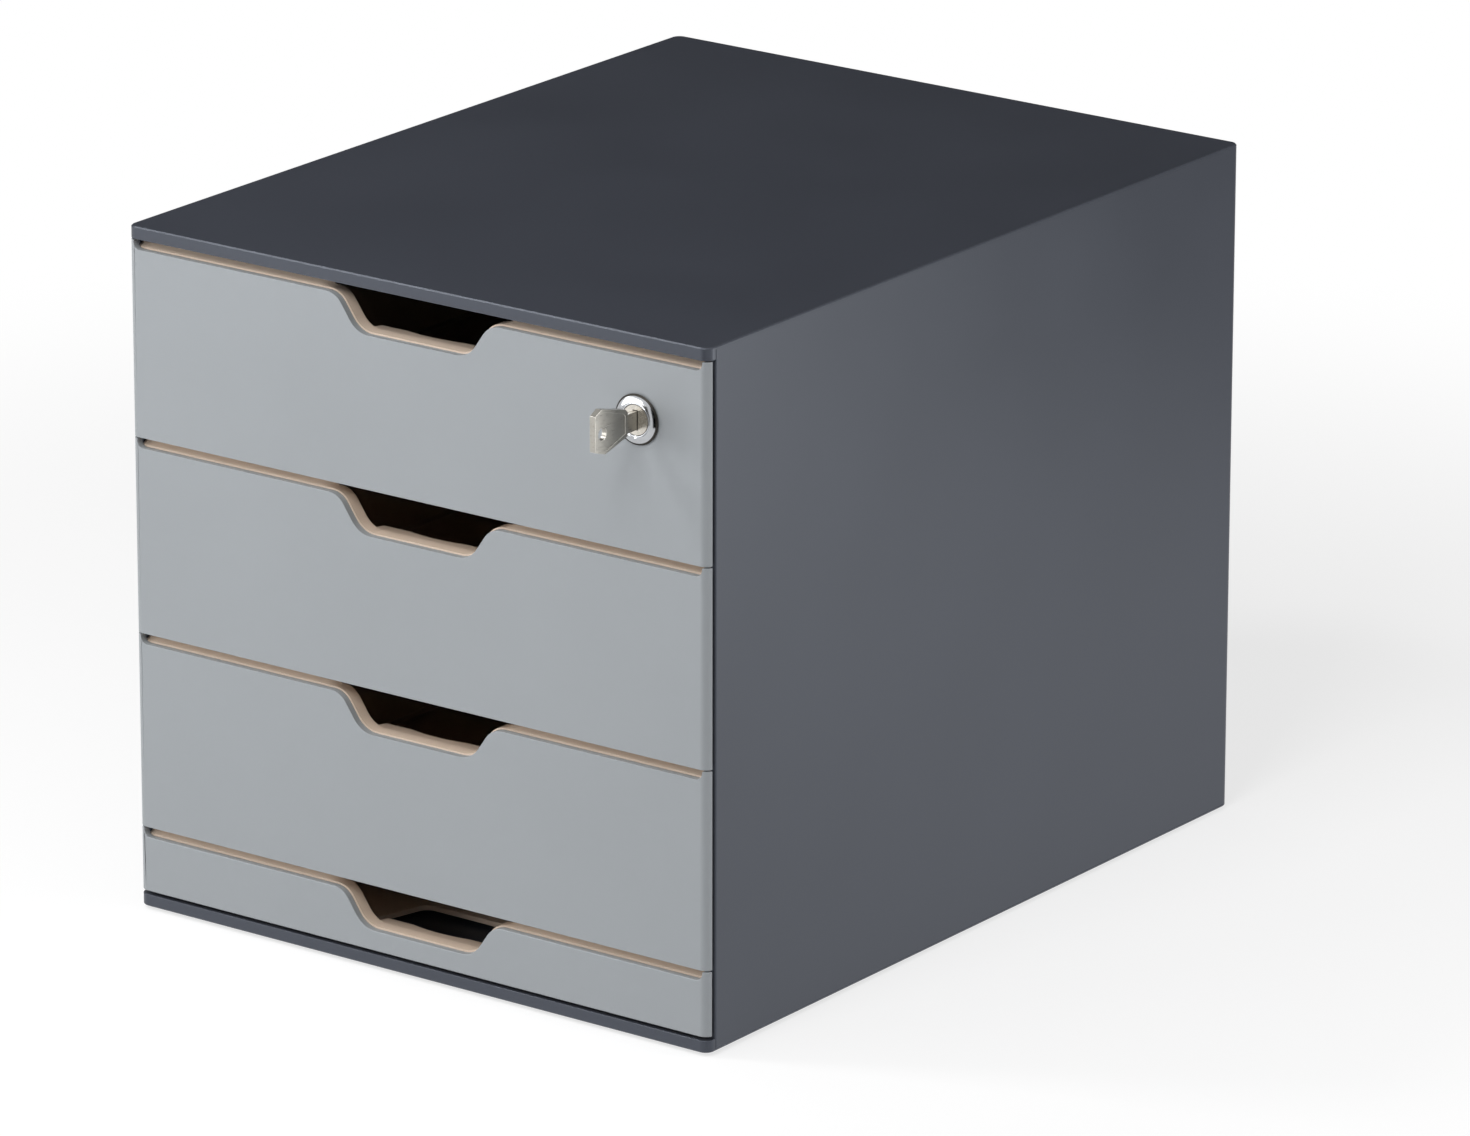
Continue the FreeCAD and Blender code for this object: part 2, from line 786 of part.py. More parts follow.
def build_front(drawer):
    """Grey front: a shallow shell with snap hooks that grip the tray's front wall."""
    pitch = pitch_of(drawer)
    body = new_body(f"drawer_{drawer}_front", z=f"level_{drawer}")
    elevation = new_sketch(body, "elevation", "XZ", "-front_plane")
    draw_outline(elevation, cap_outline(pitch))
    pad(body, elevation, "cap_depth", True)
    ear = both("half_width - ear_width")
    dress(body, "Fillet", "ear_round", straight("y", x=ear, z=(f"{pitch} - reveal",)))
    round_handle(
        body,
        "handle_top / 2", f"{pitch} - reveal",
        "handle_base / 2", f"{pitch} - reveal - handle_drop",
        "handle_top_round", "handle_base_round",
    )
    cut_plan_corners(body)
    if drawer != LOW_DRAWER:
        thin_front(body, pitch)
    add_hooks(body, drawer)
    if drawer == LOCKED_DRAWER:
        bore = new_sketch(body, "lock_hole", "XZ", "-cap_back")
        draw_circle(bore, "lock_offset", "lock_rise", "barrel_radius + barrel_fit")
        pocket(body, bore, "2 * cap_depth", True)
    return body


def thin_front(body, pitch):
    """Recess the back of a tall front on both sides of its hand cut-out."""
    recess = new_sketch(body, "recess", "XZ", "-cap_back")
    near = "handle_base / 2 + cap_border"
    far = "half_width - cap_border"
    top = f"{pitch} - reveal - handle_drop"
    for sign in SIDES.values():
        draw_outline(recess, rectangle(f"{sign} * ({near})", f"{sign} * ({far})", "cap_rim", top))
    pocket(body, recess, "cap_depth - cap_wall", True)


def add_hooks(body, drawer):
    """Snap hooks: a tongue through the tray's wall and a barb behind it."""
    root = "front_plane + cap_wall"
    tongues = new_sketch(body, "hooks", "XZ", f"-({root})")
    barbs = new_sketch(body, "barbs", "XZ", "-(rim_back + hook_fit / 2)")
    for left, right, low in hook_spans(drawer):
        draw_outline(tongues, rectangle(left, right, low, f"{low} + hook_wall"))
        draw_outline(barbs, rectangle(left, right, f"{low} - hook_catch", f"{low} + hook_wall"))
    pad(body, tongues, f"rim_back + hook_fit / 2 + hook_barb - ({root})", True)
    pad(body, barbs, "hook_barb", True)


def build_tray(drawer):
    """Drawer tray: floor and walls, a hollow front wall, sliding flanges and a ledge."""
    pitch = pitch_of(drawer)
    rim_top = f"{pitch} - rim_drop"
    body = new_body(f"drawer_{drawer}_tray", z=f"level_{drawer}")
    box = new_sketch(body, "box", "XY", "tray_lift")
    draw_outline(box, rectangle("-tray_half", "tray_half", "rim_back", "tray_rear"))
    pad(body, box, f"{rim_top} - tray_lift")
    rear = straight("z", x=both("tray_half"), y=("tray_rear",))
    dress(body, "Fillet", "rear_round", rear)
    add_flange(body, rim_top)
    add_front_wall(body, pitch)
    hollow_tray(body, rim_top)
    cut_front_hollow(body, drawer)
    add_ledge(body, pitch)
    cut_floor_hole(body)
    if drawer == LOCKED_DRAWER:
        add_lock_boss(body)
    return body


def add_flange(body, rim_top):
    """Rim flange that slides on the runners, with an ear each side for the stop."""
    plan = new_sketch(body, "flange", "XY", f"{rim_top} - flange_wall")
    reach = "tray_half + flange_reach"
    half = [
        (reach, "rim_back"),
        (reach, "catch_front"),
        ("front_half", "catch_front"),
        ("front_half", "catch_front + catch_length"),
        (reach, "catch_front + catch_length"),
        (reach, "tray_rear + flange_reach"),
    ]
    draw_outline(plan, mirrored(half))
    pad(body, plan, "flange_wall")
    corner = straight("z", x=both(reach), y=("tray_rear + flange_reach",))
    dress(body, "Fillet", "rear_round + flange_reach", corner)


def add_front_wall(body, pitch):
    """Front wall with the hand cut-out, a little larger than the grey front's edge."""
    wall = new_sketch(body, "front_wall", "XZ", "-cap_back")
    outline = front_outline(
        pitch, "front_half", "tray_lift", "rim_drop", "handle_step", "handle_shift"
    )
    draw_outline(wall, outline)
    pad(body, wall, "rim_depth", True)
    base = f"{pitch} - reveal - handle_drop + handle_step"
    round_handle(
        body,
        handle_half("handle_drop + rim_step", "handle_shift"), f"{pitch} - rim_drop",
        handle_half("handle_step", "handle_shift"), base,
        "handle_top_round + handle_step", "handle_base_round - handle_step",
    )


def hollow_tray(body, rim_top):
    """Clear the inside and round its corners as a mould leaves them."""
    inside = new_sketch(body, "inside", "XY", rim_top)
    half = "tray_half - tray_wall"
    rear = "tray_rear - tray_wall"
    draw_outline(inside, rectangle(f"-({half})", half, "rim_back", rear))
    pocket(body, inside, f"{rim_top} - floor_top")
    upright = straight("z", x=both(half), y=("rim_back", rear))
    dress(body, "Fillet", "inside_round", upright)
    dress(body, "Chamfer", "floor_bevel", at_height("floor_top"))


def cut_front_hollow(body, drawer):
    """Hollow the front wall from the front, and open slots for the snap hooks."""
    pitch = pitch_of(drawer)
    hollow = new_sketch(body, "front_hollow", "XZ", "-cap_back")
    outline = front_outline(
        pitch, "front_half - rim_wall", "tray_lift + rim_wall", "rim_drop + rim_wall",
        "handle_step - rim_wall", "rim_shift",
    )
    draw_outline(hollow, outline)
    pocket(body, hollow, "rim_depth - skin_wall", False)
    round_handle(
        body,
        handle_half("handle_drop + rim_step - rim_wall", "rim_shift"),
        f"{pitch} - rim_drop - rim_wall",
        handle_half("handle_step - rim_wall", "rim_shift"),
        f"{pitch} - reveal - handle_drop + handle_step - rim_wall",
        "handle_top_round + handle_step - rim_wall", "handle_base_round - handle_step + rim_wall",
    )
    slots = new_sketch(body, "hook_slots", "XZ", "-skin_front")
    for left, right, low in hook_spans(drawer):
        slot = rectangle(
            f"{left} - hook_fit", f"{right} + hook_fit",
            f"{low} - hook_fit", f"{low} + hook_wall + hook_catch + hook_fit",
        )
        draw_outline(slots, slot)
    pocket(body, slots, "2 * skin_wall", False)


def add_ledge(body, pitch):
    """Sloping finger ledge behind the cut-out, with a shallow scallop in its edge."""
    base = f"{pitch} - reveal - handle_drop + handle_step"
    half = handle_half("handle_step", "handle_shift")
    section = new_sketch(body, "ledge", "YZ", f"-({half})")
    corners = [
        ("rim_back", base),
        ("ledge_edge", f"{base} - ledge_fall"),
        ("ledge_edge", f"{base} - ledge_fall - ledge_wall"),
        ("rim_back", f"{base} - ledge_wall"),
    ]
    draw_outline(section, corners)
    pad(body, section, f"2 * ({half})")
    scallop = new_sketch(body, "scallop", "XY", base)
    draw_circle(scallop, "0", "ledge_edge + scallop_radius - scallop_drop", "scallop_radius")
    pocket(body, scallop, "ledge_fall + ledge_wall")


def cut_floor_hole(body):
    """Finger opening through the floor, behind the front wall."""
    hole = new_sketch(body, "floor_hole", "XY", "floor_top")
    near = "front_plane + hole_front"
    far = "front_plane + hole_rear"
    draw_outline(hole, mirrored([("hole_front_width / 2", near), ("hole_rear_width / 2", far)]))
    pocket(body, hole, "2 * floor_wall")
    corners = (
        straight("z", x=both("hole_front_width / 2"), y=(near,)),
        straight("z", x=both("hole_rear_width / 2"), y=(far,)),
    )
    dress(body, "Fillet", "hole_round", lambda edge: any(test(edge) for test in corners))


def add_lock_boss(body):
    """Tube round the lock's barrel through the hollow front wall."""
    ring = new_sketch(body, "lock_boss", "XZ", "-cap_back")
    draw_circle(ring, "lock_offset", "lock_rise", "barrel_radius + barrel_fit + barrel_boss")
    pad(body, ring, "rim_depth", True)
    bore = new_sketch(body, "lock_bore", "XZ", "-cap_back")
    draw_circle(bore, "lock_offset", "lock_rise", "barrel_radius + barrel_fit")
    pocket(body, bore, "2 * rim_depth", False)


def lock_body(label):
    """A body whose origin lies on the lock's axis, at the front plane."""
    return new_body(label, x="lock_offset", y="front_plane", z="lock_level")


def build_lock_barrel():
    """Threaded barrel with its rosette, stepped inside to hold the plug's head."""
    body = lock_body("lock_barrel")
    half = new_sketch(body, "half_section", "XY")
    head_end = "plug_head_length - rosette_proud + plug_sunk + plug_fit"
    corners = [
        ("plug_head_radius + plug_fit", "-rosette_proud + plug_sunk"),
        ("rosette_face", "-rosette_proud"),
        ("rosette_radius - 2 * rosette_bevel", "-rosette_proud"),
        ("rosette_radius - rosette_bevel / 2", "-rosette_proud + rosette_bevel / 2"),
        ("rosette_radius", "-rosette_proud + 2 * rosette_bevel"),
        ("rosette_radius", "0"),
        ("barrel_radius", "0"),
        ("barrel_radius", "barrel_length"),
        ("plug_radius + plug_fit", "barrel_length"),
        ("plug_radius + plug_fit", head_end),
        ("plug_head_radius + plug_fit", head_end),
    ]
    draw_outline(half, corners)
    revolve(body, "Revolution", half, "V_Axis")
    return body


def build_lock_nut():
    """Hexagonal nut that pulls the barrel against the drawer's front."""
    body = lock_body("lock_nut")
    hexagon = new_sketch(body, "hexagon", "XZ", "-(rim_back - front_plane)")
    right_half = [
        ("0", "-nut_tip"),
        ("nut_width / 2", "-nut_tip / 2"),
        ("nut_width / 2", "nut_tip / 2"),
        ("0", "nut_tip"),
    ]
    left_half = [(f"-({x})", y) for x, y in reversed(right_half[1:-1])]
    draw_outline(hexagon, right_half + left_half)
    pad(body, hexagon, "nut_wall", True)
    bore = new_sketch(body, "bore", "XZ", "-(rim_back - front_plane)")
    draw_circle(bore, "0", "0", "barrel_radius")
    pocket(body, bore, "nut_wall", False)
    return body


def build_lock_plug():
    """Turning plug with its keyway, a square shank for the cam and a screw hole."""
    body = lock_body("lock_plug")
    half = new_sketch(body, "half_section", "XY")
    face = "-rosette_proud + plug_sunk"
    corners = [
        ("0", face),
        ("plug_head_radius", face),
        ("plug_head_radius", f"{face} + plug_head_length"),
        ("plug_radius", f"{face} + plug_head_length"),
        ("plug_radius", "barrel_length"),
        ("0", "barrel_length"),
    ]
    draw_outline(half, corners)
    revolve(body, "Revolution", half, "V_Axis")
    shank = new_sketch(body, "shank", "XZ", "-barrel_length")
    side = "shank_side / 2"
    draw_outline(shank, rectangle(f"-{side}", side, f"-{side}", side))
    pad(body, shank, "washer_wall + cam_wall", True)
    keyway = new_sketch(body, "keyway", "XZ", f"-({face})")
    slot_half = "key_wall / 2 + key_fit"
    slot_rise = "blade_height / 2 + key_fit"
    slot = rectangle(f"-({slot_half})", slot_half, f"-({slot_rise})", slot_rise)
    draw_outline(keyway, slot)
    pocket(body, keyway, "keyway_depth", False)
    hole = new_sketch(body, "screw_hole", "XZ", "-(barrel_length + washer_wall + cam_wall)")
    draw_circle(hole, "0", "0", "screw_radius")
    pocket(body, hole, "screw_length", True)
    return body


def square_hole(body, plane_offset, depth):
    """Cut the square hole that fits the plug's shank."""
    hole = new_sketch(body, "square", "XZ", plane_offset)
    side = "shank_side / 2 + shank_fit"
    draw_outline(hole, rectangle(f"-({side})", side, f"-({side})", side))
    pocket(body, hole, depth, False)


def build_cam_washer():
    """Washer between the barrel and the cam."""
    body = lock_body("cam_washer")
    disc = new_sketch(body, "disc", "XZ", "-barrel_length")
    draw_circle(disc, "0", "0", "washer_radius")
    pad(body, disc, "washer_wall", True)
    square_hole(body, "-barrel_length", "washer_wall")
    return body


def build_lock_cam():
    """Flat cam on the shank, lying sideways while the drawer is free."""
    body = lock_body("lock_cam")
    start = "barrel_length + washer_wall"
    arm = new_sketch(body, "arm", "XZ", f"-({start})")
    side = "cam_width / 2"
    draw_outline(arm, rectangle("-cam_reach", "0", f"-{side}", side))
    pad(body, arm, "cam_wall", True)
    dress(body, "Fillet", "cam_width / 4", straight("y", x=("-cam_reach",)))
    hub = new_sketch(body, "hub", "XZ", f"-({start})")
    draw_circle(hub, "0", "0", "cam_hub")
    pad(body, hub, "cam_wall", True)
    square_hole(body, f"-({start})", "cam_wall")
    return body


def build_cam_screw():
    """Screw that holds the cam on the plug."""
    body = lock_body("cam_screw")
    seat = "barrel_length + washer_wall + cam_wall"
    head = new_sketch(body, "head", "XZ", f"-({seat})")
    draw_circle(head, "0", "0", "screw_head_radius")
    pad(body, head, "screw_head_height", True)
    dress(body, "Chamfer", "screw_head_bevel", lambda edge: is_rear_rim(edge, seat))
    shaft = new_sketch(body, "shaft", "XZ", f"-({seat} - screw_length + key_fit)")
    draw_circle(shaft, "0", "0", "screw_radius - key_fit / 2")
    pad(body, shaft, "screw_length", True)
    narrow = "screw_slot / 2"
    long = "screw_slot_length / 2"
    for name, across, up in (("upright", narrow, long), ("level", long, narrow)):
        slot = new_sketch(body, f"{name}_slot", "XZ", f"-({seat} + screw_head_height)")
        draw_outline(slot, rectangle(f"-{across}", across, f"-{up}", up))
        pocket(body, slot, "screw_slot", True)
    return body


def is_rear_rim(edge, seat):
    """Whether an edge is the outer rim at the back of the cam screw's head."""
    circle = edge.Curve
    rear = size(f"{seat} + screw_head_height")
    return isinstance(circle, Part.Circle) and abs(circle.Center.y - rear) < NEAR


def build_lock_keeper():
    """Angle plugged in under the top panel, whose rib the cam turns up behind."""
    body = new_body("lock_keeper", z="level_0")
    left = "lock_offset - keeper_width / 2"
    right = "lock_offset + keeper_width / 2"
    plate = new_sketch(body, "plate", "XY", "-keeper_plate")
    draw_outline(plate, rectangle(left, right, "keeper_front", "keeper_rear"))
    pad(body, plate, "keeper_plate")
    rib = new_sketch(body, "rib", "XY", "-keeper_drop")
    draw_outline(rib, rectangle(left, right, "keeper_rear - keeper_wall", "keeper_rear"))
    pad(body, rib, "keeper_drop")
    pegs = new_sketch(body, "pegs", "XY", "0")
    for x, y in keeper_pegs():
        draw_circle(pegs, x, y, "peg_radius")
    pad(body, pegs, "peg_length")
    return body


def build_lock_key():
    """Key with a cornered bow that stands upright in the plug."""
    body = lock_body("lock_key")
    start = "-rosette_proud + plug_sunk"
    neck = f"{start} - neck_length"
    blade = "blade_height / 2"
    side = new_sketch(body, "blade_view", "YZ", "-key_wall / 2")
    notch = "blade_length / 6"
    tip = f"{start} + blade_length"
    corners = [
        (tip, "0"),
        (f"{tip} - {blade}", blade),
        (f"{neck} - bow_corner", blade),
        (f"{neck} - bow_corner", f"-{blade}"),
        (start, f"-{blade}"),
        (f"{start} + {notch}", f"-{blade}"),
        (f"{start} + 1.5 * {notch}", f"-{blade} + notch_depth"),
        (f"{start} + 2 * {notch}", f"-{blade} + notch_depth / 2"),
        (f"{start} + 3 * {notch}", f"-{blade} + notch_depth"),
        (f"{start} + 3.5 * {notch}", f"-{blade}"),
        (f"{tip} - {blade}", f"-{blade}"),
    ]
    draw_outline(side, corners)
    pad(body, side, "key_wall")
    bow = new_sketch(body, "bow_view", "YZ", "-bow_wall / 2")
    draw_outline(bow, bow_outline(neck, "0"))
    pad(body, bow, "bow_wall")
    for name, way in SIDES.items():
        panel = new_sketch(body, f"{name}_panel", "YZ", f"{way} * bow_wall / 2")
        draw_outline(panel, bow_outline(neck, "bow_border"))
        pocket(body, panel, "bow_panel_depth", name == "left")
    hole = new_sketch(body, "ring_hole", "YZ", "-bow_wall / 2")
    draw_circle(hole, f"{neck} - bow_length + key_hole_inset", "0", "key_hole_radius")
    pocket(body, hole, "bow_wall", True)
    return body


def bow_outline(neck, inset):
    """Side view of the bow: widening outwards, with both outer corners cut."""
    far = f"{neck} - bow_length + {inset}"
    near = f"{neck} - {inset}"
    return [
        (near, f"bow_rise + bow_inner_half - bow_corner - {inset}"),
        (f"{near} - bow_corner", f"bow_rise + bow_inner_half - {inset}"),
        (f"{far} + bow_upper_chamfer", f"bow_rise + bow_outer_half - {inset}"),
        (far, f"bow_rise + bow_end_half - {inset} / 2"),
        (far, f"bow_rise - bow_end_half + {inset} / 2"),
        (f"{far} + bow_lower_chamfer", f"bow_rise - bow_outer_half + {inset}"),
        (near, f"bow_rise - bow_inner_half + {inset}"),
    ]


def build_all():
    """Every sub-part, in the order in which they go together."""
    parts = [build_bottom_panel()]
    parts += [build_side_panel(side) for side in SIDES]
    parts += [build_back_panel(), build_top_panel()]
    parts += [build_foot(name, x, y) for name, (x, y) in foot_places().items()]
    for drawer in DRAWERS:
        parts += [build_tray(drawer), build_front(drawer)]
    parts += [
        build_lock_barrel(),
        build_lock_nut(),
        build_lock_plug(),
        build_cam_washer(),
        build_lock_cam(),
        build_cam_screw(),
        build_lock_keeper(),
        build_lock_key(),
    ]
    return parts


def check(parts):
    """Stop if anything failed to compute or has no sound shape."""
    DOC.recompute()
    for item in DOC.Objects:
        if {"Invalid", "Error"} & set(item.State):
            raise ValueError(f"{item.Name} is in state {item.State}")
    for item in parts:
        if item.Shape.isNull() or not item.Shape.isValid():
            raise ValueError(f"{item.Label} has no valid shape")


def main():
    """Build, check and write every sub-part."""
    parts = build_all()
    check(parts)
    os.makedirs("parts", exist_ok=True)
    for item in parts:
        item.Shape.exportStep(f"parts/{item.Label}.step")
        print(f"{item.Label}: {len(item.Shape.Solids)} solid, {item.Shape.Volume:.0f} mm3")


main()
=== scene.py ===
"""Finish a closed desktop drawer box: edges, lock, surfaces, floor, lamps and view."""

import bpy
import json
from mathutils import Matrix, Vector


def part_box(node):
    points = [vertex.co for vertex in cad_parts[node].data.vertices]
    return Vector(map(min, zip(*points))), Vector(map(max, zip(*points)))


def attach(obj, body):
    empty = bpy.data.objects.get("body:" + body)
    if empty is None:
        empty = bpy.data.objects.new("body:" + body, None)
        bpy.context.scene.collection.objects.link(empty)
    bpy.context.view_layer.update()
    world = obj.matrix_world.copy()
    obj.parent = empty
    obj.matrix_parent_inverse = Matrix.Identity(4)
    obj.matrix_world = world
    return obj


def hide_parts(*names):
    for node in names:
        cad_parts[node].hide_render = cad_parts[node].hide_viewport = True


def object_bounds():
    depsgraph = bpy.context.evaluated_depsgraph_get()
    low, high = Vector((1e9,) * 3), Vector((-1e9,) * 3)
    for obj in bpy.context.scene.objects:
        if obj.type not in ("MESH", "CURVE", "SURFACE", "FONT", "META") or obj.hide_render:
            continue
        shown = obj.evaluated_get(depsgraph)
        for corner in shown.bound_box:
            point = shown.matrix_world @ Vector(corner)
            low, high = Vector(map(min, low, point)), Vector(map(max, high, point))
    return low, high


bl_info = {
    "name": "Closed drawer box",
    "version": (1, 0, 0),
    "blender": (4, 5, 0),
    "location": "View3D > Sidebar > Drawer box",
    "description": "Finishes the pieces of a four-drawer desktop box with a cam lock",
    "category": "Object",
}

import json
import math

import bmesh
import bpy
from bpy.props import FloatProperty, FloatVectorProperty, IntProperty, PointerProperty
from mathutils import Matrix, Vector

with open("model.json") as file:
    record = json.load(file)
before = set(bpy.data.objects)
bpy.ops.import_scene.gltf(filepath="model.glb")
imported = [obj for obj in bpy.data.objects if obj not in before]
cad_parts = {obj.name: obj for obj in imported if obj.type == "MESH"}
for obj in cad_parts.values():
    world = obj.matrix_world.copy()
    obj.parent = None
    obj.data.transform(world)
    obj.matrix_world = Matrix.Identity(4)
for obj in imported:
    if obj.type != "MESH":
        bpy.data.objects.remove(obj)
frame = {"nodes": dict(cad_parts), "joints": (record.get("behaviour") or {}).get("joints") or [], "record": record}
CAD_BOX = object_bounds()
RECORD = frame["record"]
BODY_OF = {
    node: body for body, nodes in RECORD["behaviour"]["bodies"].items() for node in nodes
}

MM = 0.001

# Colours of a plastic's gloss, and white.
PLAIN = (1.0, 1.0, 1.0)
COOL = (0.8, 0.87, 1.0)
WHITE = (1.0, 1.0, 1.0, 1.0)

# The ridge on a tray's front rim: how far it stands behind the rim's front edge, how wide
# its fall to the rear is, how high it rises, and where it starts beside the cut-out and
# ends before the tray's side.
RIDGE_DEPTH = 4.4 * MM
RIDGE_BACK = 0.7 * MM
RIDGE_RISE = 3.0 * MM
RIDGE_START = 47.0 * MM
RIDGE_END = 1.2 * MM

# Distances under which corners are joined, or counted as lying on a line.
JOINED = 0.001 * MM
CUT_JOINED = 0.01 * MM
ON_LINE = 0.02 * MM

# Angles in degrees: under the first, two faces are one flat face; over the second, an edge
# is rounded; over the third, an edge of a turned piece stays sharp.
FLAT_ANGLE = 0.5
EDGE_ANGLE = 30
SHARP_ANGLE = 50

# The barrel's turned shape, from its front edge backwards.
BARREL_FACE = 0.05 * MM
BARREL_RIM = 0.1 * MM
BARREL_MOUTH = 0.35 * MM
BARREL_STEP = 3.46 * MM
BARREL_SEAT = 2.0 * MM
BARREL_BARE = 1.2 * MM
# Across it: the play round the plug, the step behind the plug's head, and how much
# slimmer the thread is than the rosette.
PLUG_PLAY = 0.06 * MM
PLUG_STEP = 0.8 * MM
THREAD_INSET = 2.0 * MM
THREAD_CHAMFER = 0.3 * MM
# A groove's narrow flat bottom lies between these shares of half a pitch.
GROOVE_FLAT = (0.9, 1.1)
# The rosette's face falls gently at first and then faster, in this many steps.
FALL_STEPS = 8
FALL_EVEN = 0.4
BEAD_START, BEAD_END, BEAD_STEPS = 180, 330, 8

# Finishes: a plastic's refraction, the width of its faint clouds in millimetres, the part
# of a noise that is used, and how far roughness and tone vary.
PLASTIC_IOR = 1.5
CLOUD_MM = 70.0
NOISE_LOW, NOISE_HIGH = 0.3, 0.7
ROUGH_SPREAD = 0.015
MARK_TONE = 0.06
MARK_SMOOTH, MARK_ROUGH = 0.8, 1.3

# The floor keeps its shadows inside the first reach and is plain white past the second.
SHADOW_NEAR, SHADOW_FAR = 0.45, 0.9
SHADOW_GAIN = 1.2
FLOOR_HALF = 8.0
FLOOR_CELLS = 8

# The view: film width in millimetres, and how far it reaches in metres.
FILM_WIDTH = 36.0
VIEW_REACH = 50.0

# Where each lamp hangs: angles in degrees, distance and size in metres.
FRONT_LAMP = {
    "azimuth": 13,
    "elevation": 50,
    "distance": 1.8,
    "width": 0.85,
    "height": 0.85,
}
LEFT_LAMP = {"azimuth": -36, "elevation": 12, "distance": 1.2, "width": 1.0, "height": 0.5}
EDGE_LAMP = {"azimuth": -61, "elevation": 50, "distance": 1.2, "width": 0.2, "height": 0.2}
SIDE_LAMP = {"azimuth": 125, "elevation": 0, "distance": 0.9, "width": 0.3, "height": 0.3}
# The side lamp is aimed at this share of the box's height.
SIDE_LAMP_HEIGHT = 0.6

# Where each black card stands: turn in degrees, the rest in metres.
REAR_CARD_DISTANCE, REAR_CARD_HEIGHT, REAR_CARD_SIZE = 1.5, 1.56, (5.0, 2.4)
SIDE_CARD_TURN, SIDE_CARD_DISTANCE, SIDE_CARD_HEIGHT = 143, 0.55, 0.2
SIDE_CARD_SIZE = (0.5, 0.5)
LOCK_CARD_TURN, LOCK_CARD_DISTANCE, LOCK_CARD_SIZE = 19, 0.5, (0.28, 0.55)

CASING_PANELS = (
    "top_panel",
    "bottom_panel",
    "left_side_panel",
    "right_side_panel",
    "back_panel",
)
DRAWERS = ("1", "2", "3", "4")
FEET = ("foot_front_left", "foot_front_right", "foot_rear_left", "foot_rear_right")
LOCK_STEEL = ("lock_nut", "cam_washer", "lock_cam", "cam_screw")


def linear(code):
    """Turn an sRGB hex colour into the linear numbers that shaders take."""
    steps = [int(code[place : place + 2], 16) / 255 for place in (1, 3, 5)]
    return tuple(
        step / 12.92 if step <= 0.04045 else ((step + 0.055) / 1.055) ** 2.4 for step in steps
    )


def opaque(colour):
    """Add full opacity to a colour of three numbers."""
    return (*colour, 1.0)


def length(label, description, millimetres):
    """A property that holds a length in metres, given in millimetres."""
    return FloatProperty(
        name=label,
        description=description,
        default=millimetres * MM,
        min=0.0,
        precision=5,
        subtype="DISTANCE",
        unit="LENGTH",
    )


def colour(label, description, code):
    """A property that holds a colour, given as sRGB hex."""
    return FloatVectorProperty(
        name=label,
        description=description,
        default=linear(code),
        size=3,
        min=0.0,
        max=1.0,
        subtype="COLOR",
    )


def level(label, description, value):
    """A property that holds how much light a lamp or the sky gives, 1 being a plain level."""
    return FloatProperty(name=label, description=description, default=value, min=0.0, max=4.0)


def angle(label, description, degrees):
    """A property that holds an angle, given in degrees."""
    return FloatProperty(
        name=label,
        description=description,
        default=math.radians(degrees),
        subtype="ANGLE",
        unit="ROTATION",
    )


class EdgeSizes(bpy.types.PropertyGroup):
    """How far the edges of each kind of piece are rounded."""

    casing: length("Casing edge", "Radius on the casing panels' edges", 0.35)
    front: length("Front edge", "Radius on the grey drawer fronts' edges", 0.45)
    tray: length("Tray edge", "Radius on the trays' rims and ledges", 0.4)
    key: length("Key edge", "Radius on the stamped key's edges", 0.35)
    metal: length("Metal edge", "Radius on the small steel parts' edges", 0.15)
    rubber: length("Foot edge", "Radius on the rubber feet's edges", 0.4)
    steps: IntProperty(
        name="Steps", description="Faces across each rounded edge", default=3, min=1, max=6
    )


class LockSizes(bpy.types.PropertyGroup):
    """Sizes of the lock barrel's turned shape."""

    bead: length("Bead", "Width of the raised ring round the plug", 0.75)
    fall: length("Fall", "How far the rosette's face falls away to its rim", 1.2)
    # The rosette's outer band of this width is painted dark, as painted reflection and shade.
    seam: length("Seam", "Width of the unplated line round the rosette", 0.8)
    undercut: length("Undercut", "Groove between the rosette's rim and the front", 0.6)
    thread_pitch: length("Thread pitch", "Distance from one thread to the next", 1.0)
    thread_depth: length("Thread depth", "How deep the thread is cut", 0.5)
    turns: IntProperty(
        name="Facets", description="Steps round the barrel", default=96, min=24, max=192
    )


class FinishColours(bpy.types.PropertyGroup):
    """Colours of the drawer box's plastics, rubber and metals."""

    casing: colour("Casing", "Charcoal of the casing panels", "#3F424A")
    front: colour("Front", "Light grey of the drawer fronts", "#9CA0A3")
    tray: colour("Tray", "Sand of the drawer trays", "#DCC8B5")
    rubber: colour("Rubber", "Black of the feet", "#26272A")
    chrome: colour("Chrome", "Plating on the lock's rosette", "#B4B6B9")
    nickel: colour("Nickel", "Plating on the key", "#A5A29B")
    # A lighter colour on the key's rounded edges: rubbed wear and a painted highlight.
    wear_and_highlight: colour("Polish", "Rubbed edges of the key", "#E6E4DE")
    # Dark colour painted as shade and dark reflection on the rosette's rim and the plug's edges.
    seam: colour("Seam", "Unplated metal at the lock's seams", "#3B3936")
    plug: colour("Plug", "Pale metal of the lock's plug", "#D2CDC4")
    zinc: colour("Zinc", "Zinc plating on the nut, cam, washer and screw", "#B9BCC0")


